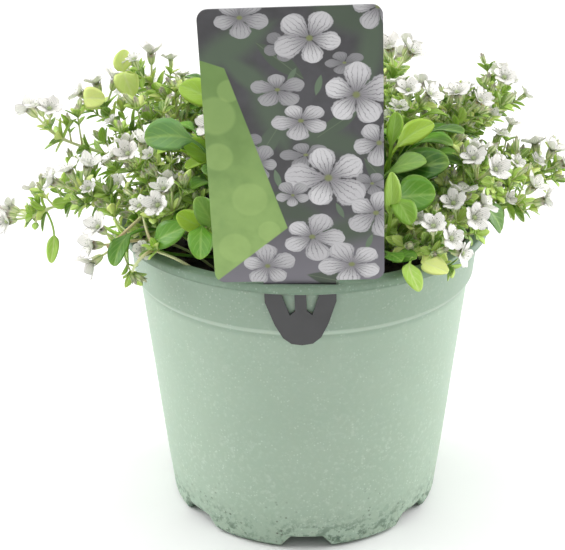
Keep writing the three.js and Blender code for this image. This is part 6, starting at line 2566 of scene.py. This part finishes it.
@dataclass(frozen=True)
class LabelFinish(Finish):
    """The printed card: white flowers and leaves on charcoal beside a green wedge, over a grey tongue."""

    charcoal: Tint
    cloud: Tint
    haze: Tint
    wedge_light: Tint
    wedge_deep: Tint
    wedge_blot: Tint
    leaf: Tint
    edge: Tint
    tongue: Tint
    tongue_cloud: Tint
    blot_scales = (70.0, 260.0)
    relief = (700.0, 0.08, 0.0001)
    rough = (0.3, 0.4)
    fixed = {"Coat Weight": 0.2, "Coat Roughness": 0.25}

    def own_place(self, tree: Tree) -> Field:
        """The place in the card's own frame: millimetres from the lip's foot, across, through and up."""
        turn = Matrix.Rotation(LABEL_TURN, 4, "Z")
        tilt = turn @ Matrix.Rotation(LABEL_LEAN, 4, "X") @ Matrix.Rotation(LABEL_ROLL, 4, "Y")
        foot = turn @ Vector((0, -(COLLAR_TOP_RADIUS + LABEL_GAP), LIP_FOOT_Z))
        values = {"Vector": tree.place(), "Location": foot * MM, "Rotation": tilt.to_euler("XYZ")}
        values["Scale"] = (MM, MM, MM)
        return tree.add("ShaderNodeMapping", values, vector_type="TEXTURE")[0]

    def wedge(self, tree: Tree, groups: Groups, x: Field, z: Field) -> tuple[Field, Field]:
        """The wedge as a mask between three slanting lines, and its greens with soft round blots."""
        mask = (x + z * 0.316).span(3.6, 4.0, 1.0, 0.0) * (z - x * 0.79 - 23.2).span(-0.3, 0.3)
        soft = tree.group(groups.mottle, Coarse=90.0, Fine=220.0)[0]
        depth = z.span(30.0, 62.0) * z.span(62.0, 30.0, 1.0, 0.6)
        low = soft * 0.4 + z.span(0.0, 60.0, 0.6, 0.0)
        green = tree.layers(self.wedge_deep, (low, self.wedge_light), (depth * 0.55, self.wedge_deep))
        for across, up, radius in WEDGE_BLOTS:
            reach = (x - across).hypot(z - up)
            green = tree.layers(green, (reach.span(0.8 * radius, radius, 0.3, 0.0), self.wedge_blot))
        return mask * (z + x * 0.37).span(61.6, 62.0, 1.0, 0.0), green

    def paint(self, tree: Tree, groups: Groups, blots: Field) -> tuple[Field, Value]:
        """The picture with its leaves and flowers, the wedge over it, pale edges, and the tongue below."""
        place = self.own_place(tree)
        x, y, z = tree.parts(place)
        ruffle, wander = tree.noise(place, 0.7) * 0.16 - 0.08, tree.noise(place, 1.1) * 0.34 - 0.17
        haze = z.span(0.0, 34.0, 0.75, 0.0)
        picture, after = tree.layers(self.charcoal, (blots * 0.5, self.cloud), (haze, self.haze)), z
        for *numbers, shade in PRINTED_LEAVES:
            values = dict(zip(("X", "Z", "Length", "Turn", "Soft"), map(float, numbers)))
            values["Shade"] = (*(shade * part for part in self.leaf[:3]), 1.0)
            picture, after = tree.group(groups.leaf, Under=picture, Across=x, Up=after, **values)
        for across, up, radius, *numbers in PRINTED_FLOWERS:
            values = dict(zip(("Turn", "Squash", "Light"), numbers), Ruffle=ruffle, Wander=wander)
            values |= {"X": float(across), "Z": float(up), "Radius": 0.9 * radius}
            picture, after = tree.group(groups.flower, Under=picture, Across=x, Up=after, **values)
        printed = abs(y + SHEET / 2).span(0.2, 0.29)
        tongue = tree.layers(self.tongue, (blots * 0.3, self.tongue_cloud))
        card = tree.layers(self.edge, (printed, tree.layers(picture, self.wedge(tree, groups, x, z))))
        return tree.layers(tongue, (z.span(2.8, 3.4), card)), 0.0


@dataclass(frozen=True)
class FloorFinish(Finish):
    """Matt white paper for the floor, with a faint cloud."""

    white: Tint
    shade: Tint
    blot_scales = (3.0, 30.0)
    relief = (300.0, 0.02, 0.0001)
    rough = (0.88, 0.92)
    fixed = {"Specular IOR Level": 0.1}

    def paint(self, tree: Tree, groups: Groups, blots: Field) -> tuple[Field, Value]:
        """White with a cloud."""
        return tree.layers(self.white, (blots, self.shade)), 0.0


# The studio.


@dataclass
class Studio:
    """A pale floor that curves up behind, large soft lamps, and the camera of the photograph."""

    floor_half: float = 3.0
    bend_start: float = 1.2
    bend_radius: float = 0.9
    wall: tuple[float, float] = (1.2, 3.0)
    aim_height: float = 0.1
    lamp_size: float = 0.9
    camera_place: tuple[float, float, float] = (-0.00709, -0.406, 0.2531)
    pitch_down: float = 0.408
    roll: float = -0.009
    lens: float = 84.3
    front: float = 0.3
    back: float = 1.02

    def floor(self, finish: bpy.types.Material) -> None:
        """The floor: a sheet that lies flat and rises in a wide curve far behind."""
        turn = np.linspace(0.1, math.pi / 2, 12)
        start, radius = self.bend_start, self.bend_radius
        flat, wall = np.linspace(-self.floor_half, start, 12), np.linspace(*self.wall, 4)
        y = np.concatenate([flat, start + radius * np.sin(turn), np.full(len(wall), start + radius)])
        z = np.concatenate([np.zeros(len(flat)), radius - radius * np.cos(turn), wall])
        x = np.linspace(-self.floor_half, self.floor_half, 9)
        points = np.stack(np.broadcast_arrays(x, y[:, None], z[:, None]), axis=-1).reshape(-1, 3)
        rows, columns = len(y), len(x)
        corner = (np.arange(rows - 1)[:, None] * columns + np.arange(columns - 1)).ravel()
        faces = np.stack([corner, corner + 1, corner + columns + 1, corner + columns], axis=-1)
        mesh = bpy.data.meshes.new("floor")
        mesh.from_pydata(points.tolist(), [], faces.tolist())
        mesh.polygons.foreach_set("use_smooth", np.ones(len(faces), bool))
        mesh.materials.append(finish)
        made = bpy.data.objects.new("floor", mesh)
        bpy.context.scene.collection.objects.link(made)
        made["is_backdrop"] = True

    def lamp(self, name: str, place: tuple, power: float) -> None:
        """A square soft lamp that looks at the middle of the object."""
        data = bpy.data.lights.new(name, "AREA")
        data.shape = "SQUARE"
        data.size = self.lamp_size
        data.energy = power
        made = bpy.data.objects.new(name, data)
        made.location = place
        aim = Vector((0, 0, self.aim_height)) - Vector(place)
        made.rotation_euler = aim.to_track_quat("-Z", "Y").to_euler()
        bpy.context.scene.collection.objects.link(made)

    def camera(self) -> None:
        """The camera at the photograph's place."""
        data = bpy.data.cameras.new("camera")
        data.lens = self.lens
        data.sensor_width = 36.0
        data.sensor_fit = "HORIZONTAL"
        data.clip_start = 0.01
        made = bpy.data.objects.new("camera", data)
        tilt = Matrix.Rotation(math.pi / 2 - self.pitch_down, 4, "X") @ Matrix.Rotation(self.roll, 4, "Z")
        made.matrix_world = Matrix.Translation(self.camera_place) @ tilt
        bpy.context.scene.collection.objects.link(made)
        bpy.context.scene.camera = made

    def sky(self) -> None:
        """Soft light from all round: bright behind and beside the object, dimmer where the camera stands."""
        world = bpy.data.worlds.new("studio")
        world.use_nodes = True
        tree = Tree(world.node_tree)
        background = world.node_tree.nodes["Background"]
        y = tree.parts(tree.add("ShaderNodeTexCoord")[0])[1]
        tree.feed(background.inputs["Strength"], y.span(-1.0, 0.2, self.front, self.back))
        background.inputs["Color"].default_value = (1.0, 1.0, 1.0, 1.0)
        bpy.context.scene.world = world

    def build(self, floor_finish: bpy.types.Material) -> None:
        """Sets up the studio."""
        self.floor(floor_finish)
        self.lamp("lamp_left", (-1.1, 0.25, 0.6), 11.0)
        self.lamp("lamp_right", (1.1, 0.3, 0.6), 13.0)
        self.lamp("lamp_top", (-0.2, -0.1, 1.3), 4.0)
        self.camera()
        self.sky()
        bpy.context.scene.view_settings.view_transform = "Standard"


# The third and fourth tints are darker sage for painted shade; the fifth, pale, is for flecks and grain and a
# painted highlight.
SAGE_PLASTIC = PotFinish(
    "sage_plastic", tint(157, 178, 158), tint(167, 186, 167), tint(126, 150, 128), tint(100, 124, 104),
    tint(226, 238, 226), tint(72, 98, 78), tint(58, 50, 40),
)
MOIST_PEAT = SoilFinish("moist_peat", tint(26, 20, 17), tint(58, 46, 37), tint(122, 98, 72))
LABEL_PRINT = LabelFinish(
    "label_print", tint(48, 47, 50), tint(84, 83, 88), tint(128, 125, 134), tint(150, 184, 100),
    tint(100, 136, 58), tint(170, 202, 114), tint(74, 92, 70), tint(176, 177, 178), tint(48, 48, 49),
    tint(72, 72, 74),
)
STEM_SKIN = StalkFinish("stem_skin", tint(194, 172, 126), tint(210, 224, 164), tint(212, 194, 156))
SMALL_LEAF = LeafFinish(
    "small_leaf", tint(86, 130, 32), tint(168, 208, 84), tint(226, 240, 144), tint(224, 236, 168),
    tint(162, 196, 148), 3.0, 0.18,
)
SPOON_LEAF = LeafFinish(
    "spoon_leaf", tint(40, 88, 18), tint(88, 144, 36), tint(156, 190, 56), tint(158, 192, 98),
    tint(104, 148, 84), 4.0, 0.14,
)
CALYX_SKIN = CupFinish("calyx_skin", tint(142, 172, 90), tint(212, 222, 166), tint(160, 144, 152))
PETAL_WHITE = PetalFinish(
    "petal_white", tint(254, 252, 244), tint(240, 239, 238), tint(112, 104, 118), tint(160, 164, 146),
    tint(196, 182, 176),
)
FLOWER_HEART = HeartFinish("flower_heart", tint(150, 170, 104), tint(226, 230, 214), tint(150, 156, 138))
FINE_HAIR = StalkFinish("fine_hair", tint(226, 234, 206), tint(238, 242, 224), tint(232, 236, 214))
FLOOR_PAPER = FloorFinish("floor_paper", tint(252, 252, 252), tint(248, 248, 248))


@dataclass
class PottedGypsophila:
    """The whole object: pot, soil, label and plant."""

    groups: Groups = field(default_factory=Groups)

    def dress_label(self) -> None:
        """Gives the label's own solid its printed finish."""
        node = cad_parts["label"]
        node.data.materials.clear()
        node.data.materials.append(LABEL_PRINT.build(self.groups))
        log.info("label: printed finish on its node")

    def grow(self) -> tuple[Mound, list[list[Spoon]], list[Growth]]:
        """Lays out the mound and all that grows on it.

        Returns:
            The mound, the extra leaves of each tuft, and the growth of each stem.
        """
        mound = Mound.lay()
        log.info("mound laid out: %d beads", mound.crowd.count)
        undergrowth, filling = Undergrowth(mound.crowd), Filling(mound.crowd)
        extra = [undergrowth.large(mound.tufts, n) for n in range(len(mound.tufts))]
        discs = undergrowth.round_ones(mound.stems)
        for n, tuft in enumerate(mound.tufts):
            extra[n] += undergrowth.small(tuft, n)
        growths = [filling.of(plant, n) for n, plant in enumerate(mound.stems)]
        for n, own in discs.items():
            growths[n].discs = own
        filling.runners(mound.stems, growths)
        for name in ("leaves", "tiny", "twigs", "bud_feet", "flowers"):
            log.info("%s: %d", name, sum(len(getattr(growth, name)) for growth in growths))
        return mound, extra, growths

    def build(self) -> None:
        """Builds and dresses every piece, from the pot up."""
        NurseryPot().build([SAGE_PLASTIC.build(self.groups)])
        Soil().build([MOIST_PEAT.build(self.groups)])
        self.dress_label()
        finishes = (STEM_SKIN, SMALL_LEAF, CALYX_SKIN, FINE_HAIR, PETAL_WHITE, FLOWER_HEART, SPOON_LEAF)
        stem, leaf, cup, hair, petal, heart, spoon = (finish.build(self.groups) for finish in finishes)
        mound, extra, growths = self.grow()
        for n, tuft in enumerate(mound.tufts):
            BasalTuft(n, tuft, extra[n]).build([spoon, stem])
        for n, plant in enumerate(mound.stems):
            LeafyStem(n, plant, growths[n]).build([stem, leaf, cup, hair])
            FlowerHead(n, plant.flowers + growths[n].flowers).build([petal, heart])


def write_sizes() -> None:
    """Works out the model's box and the box of what is seen now, as plain lists of numbers."""
    boxes = {"cad": CAD_BOX, "visual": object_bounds()}
    plain = {name: [[float(c) for c in corner] for corner in box] for name, box in boxes.items()}


def main() -> None:
    """Builds the object and its studio."""
    part = PottedGypsophila()
    Studio().build(FLOOR_PAPER.build(part.groups))
    part.build()
    write_sizes()


if __name__ == "__main__":
    main()
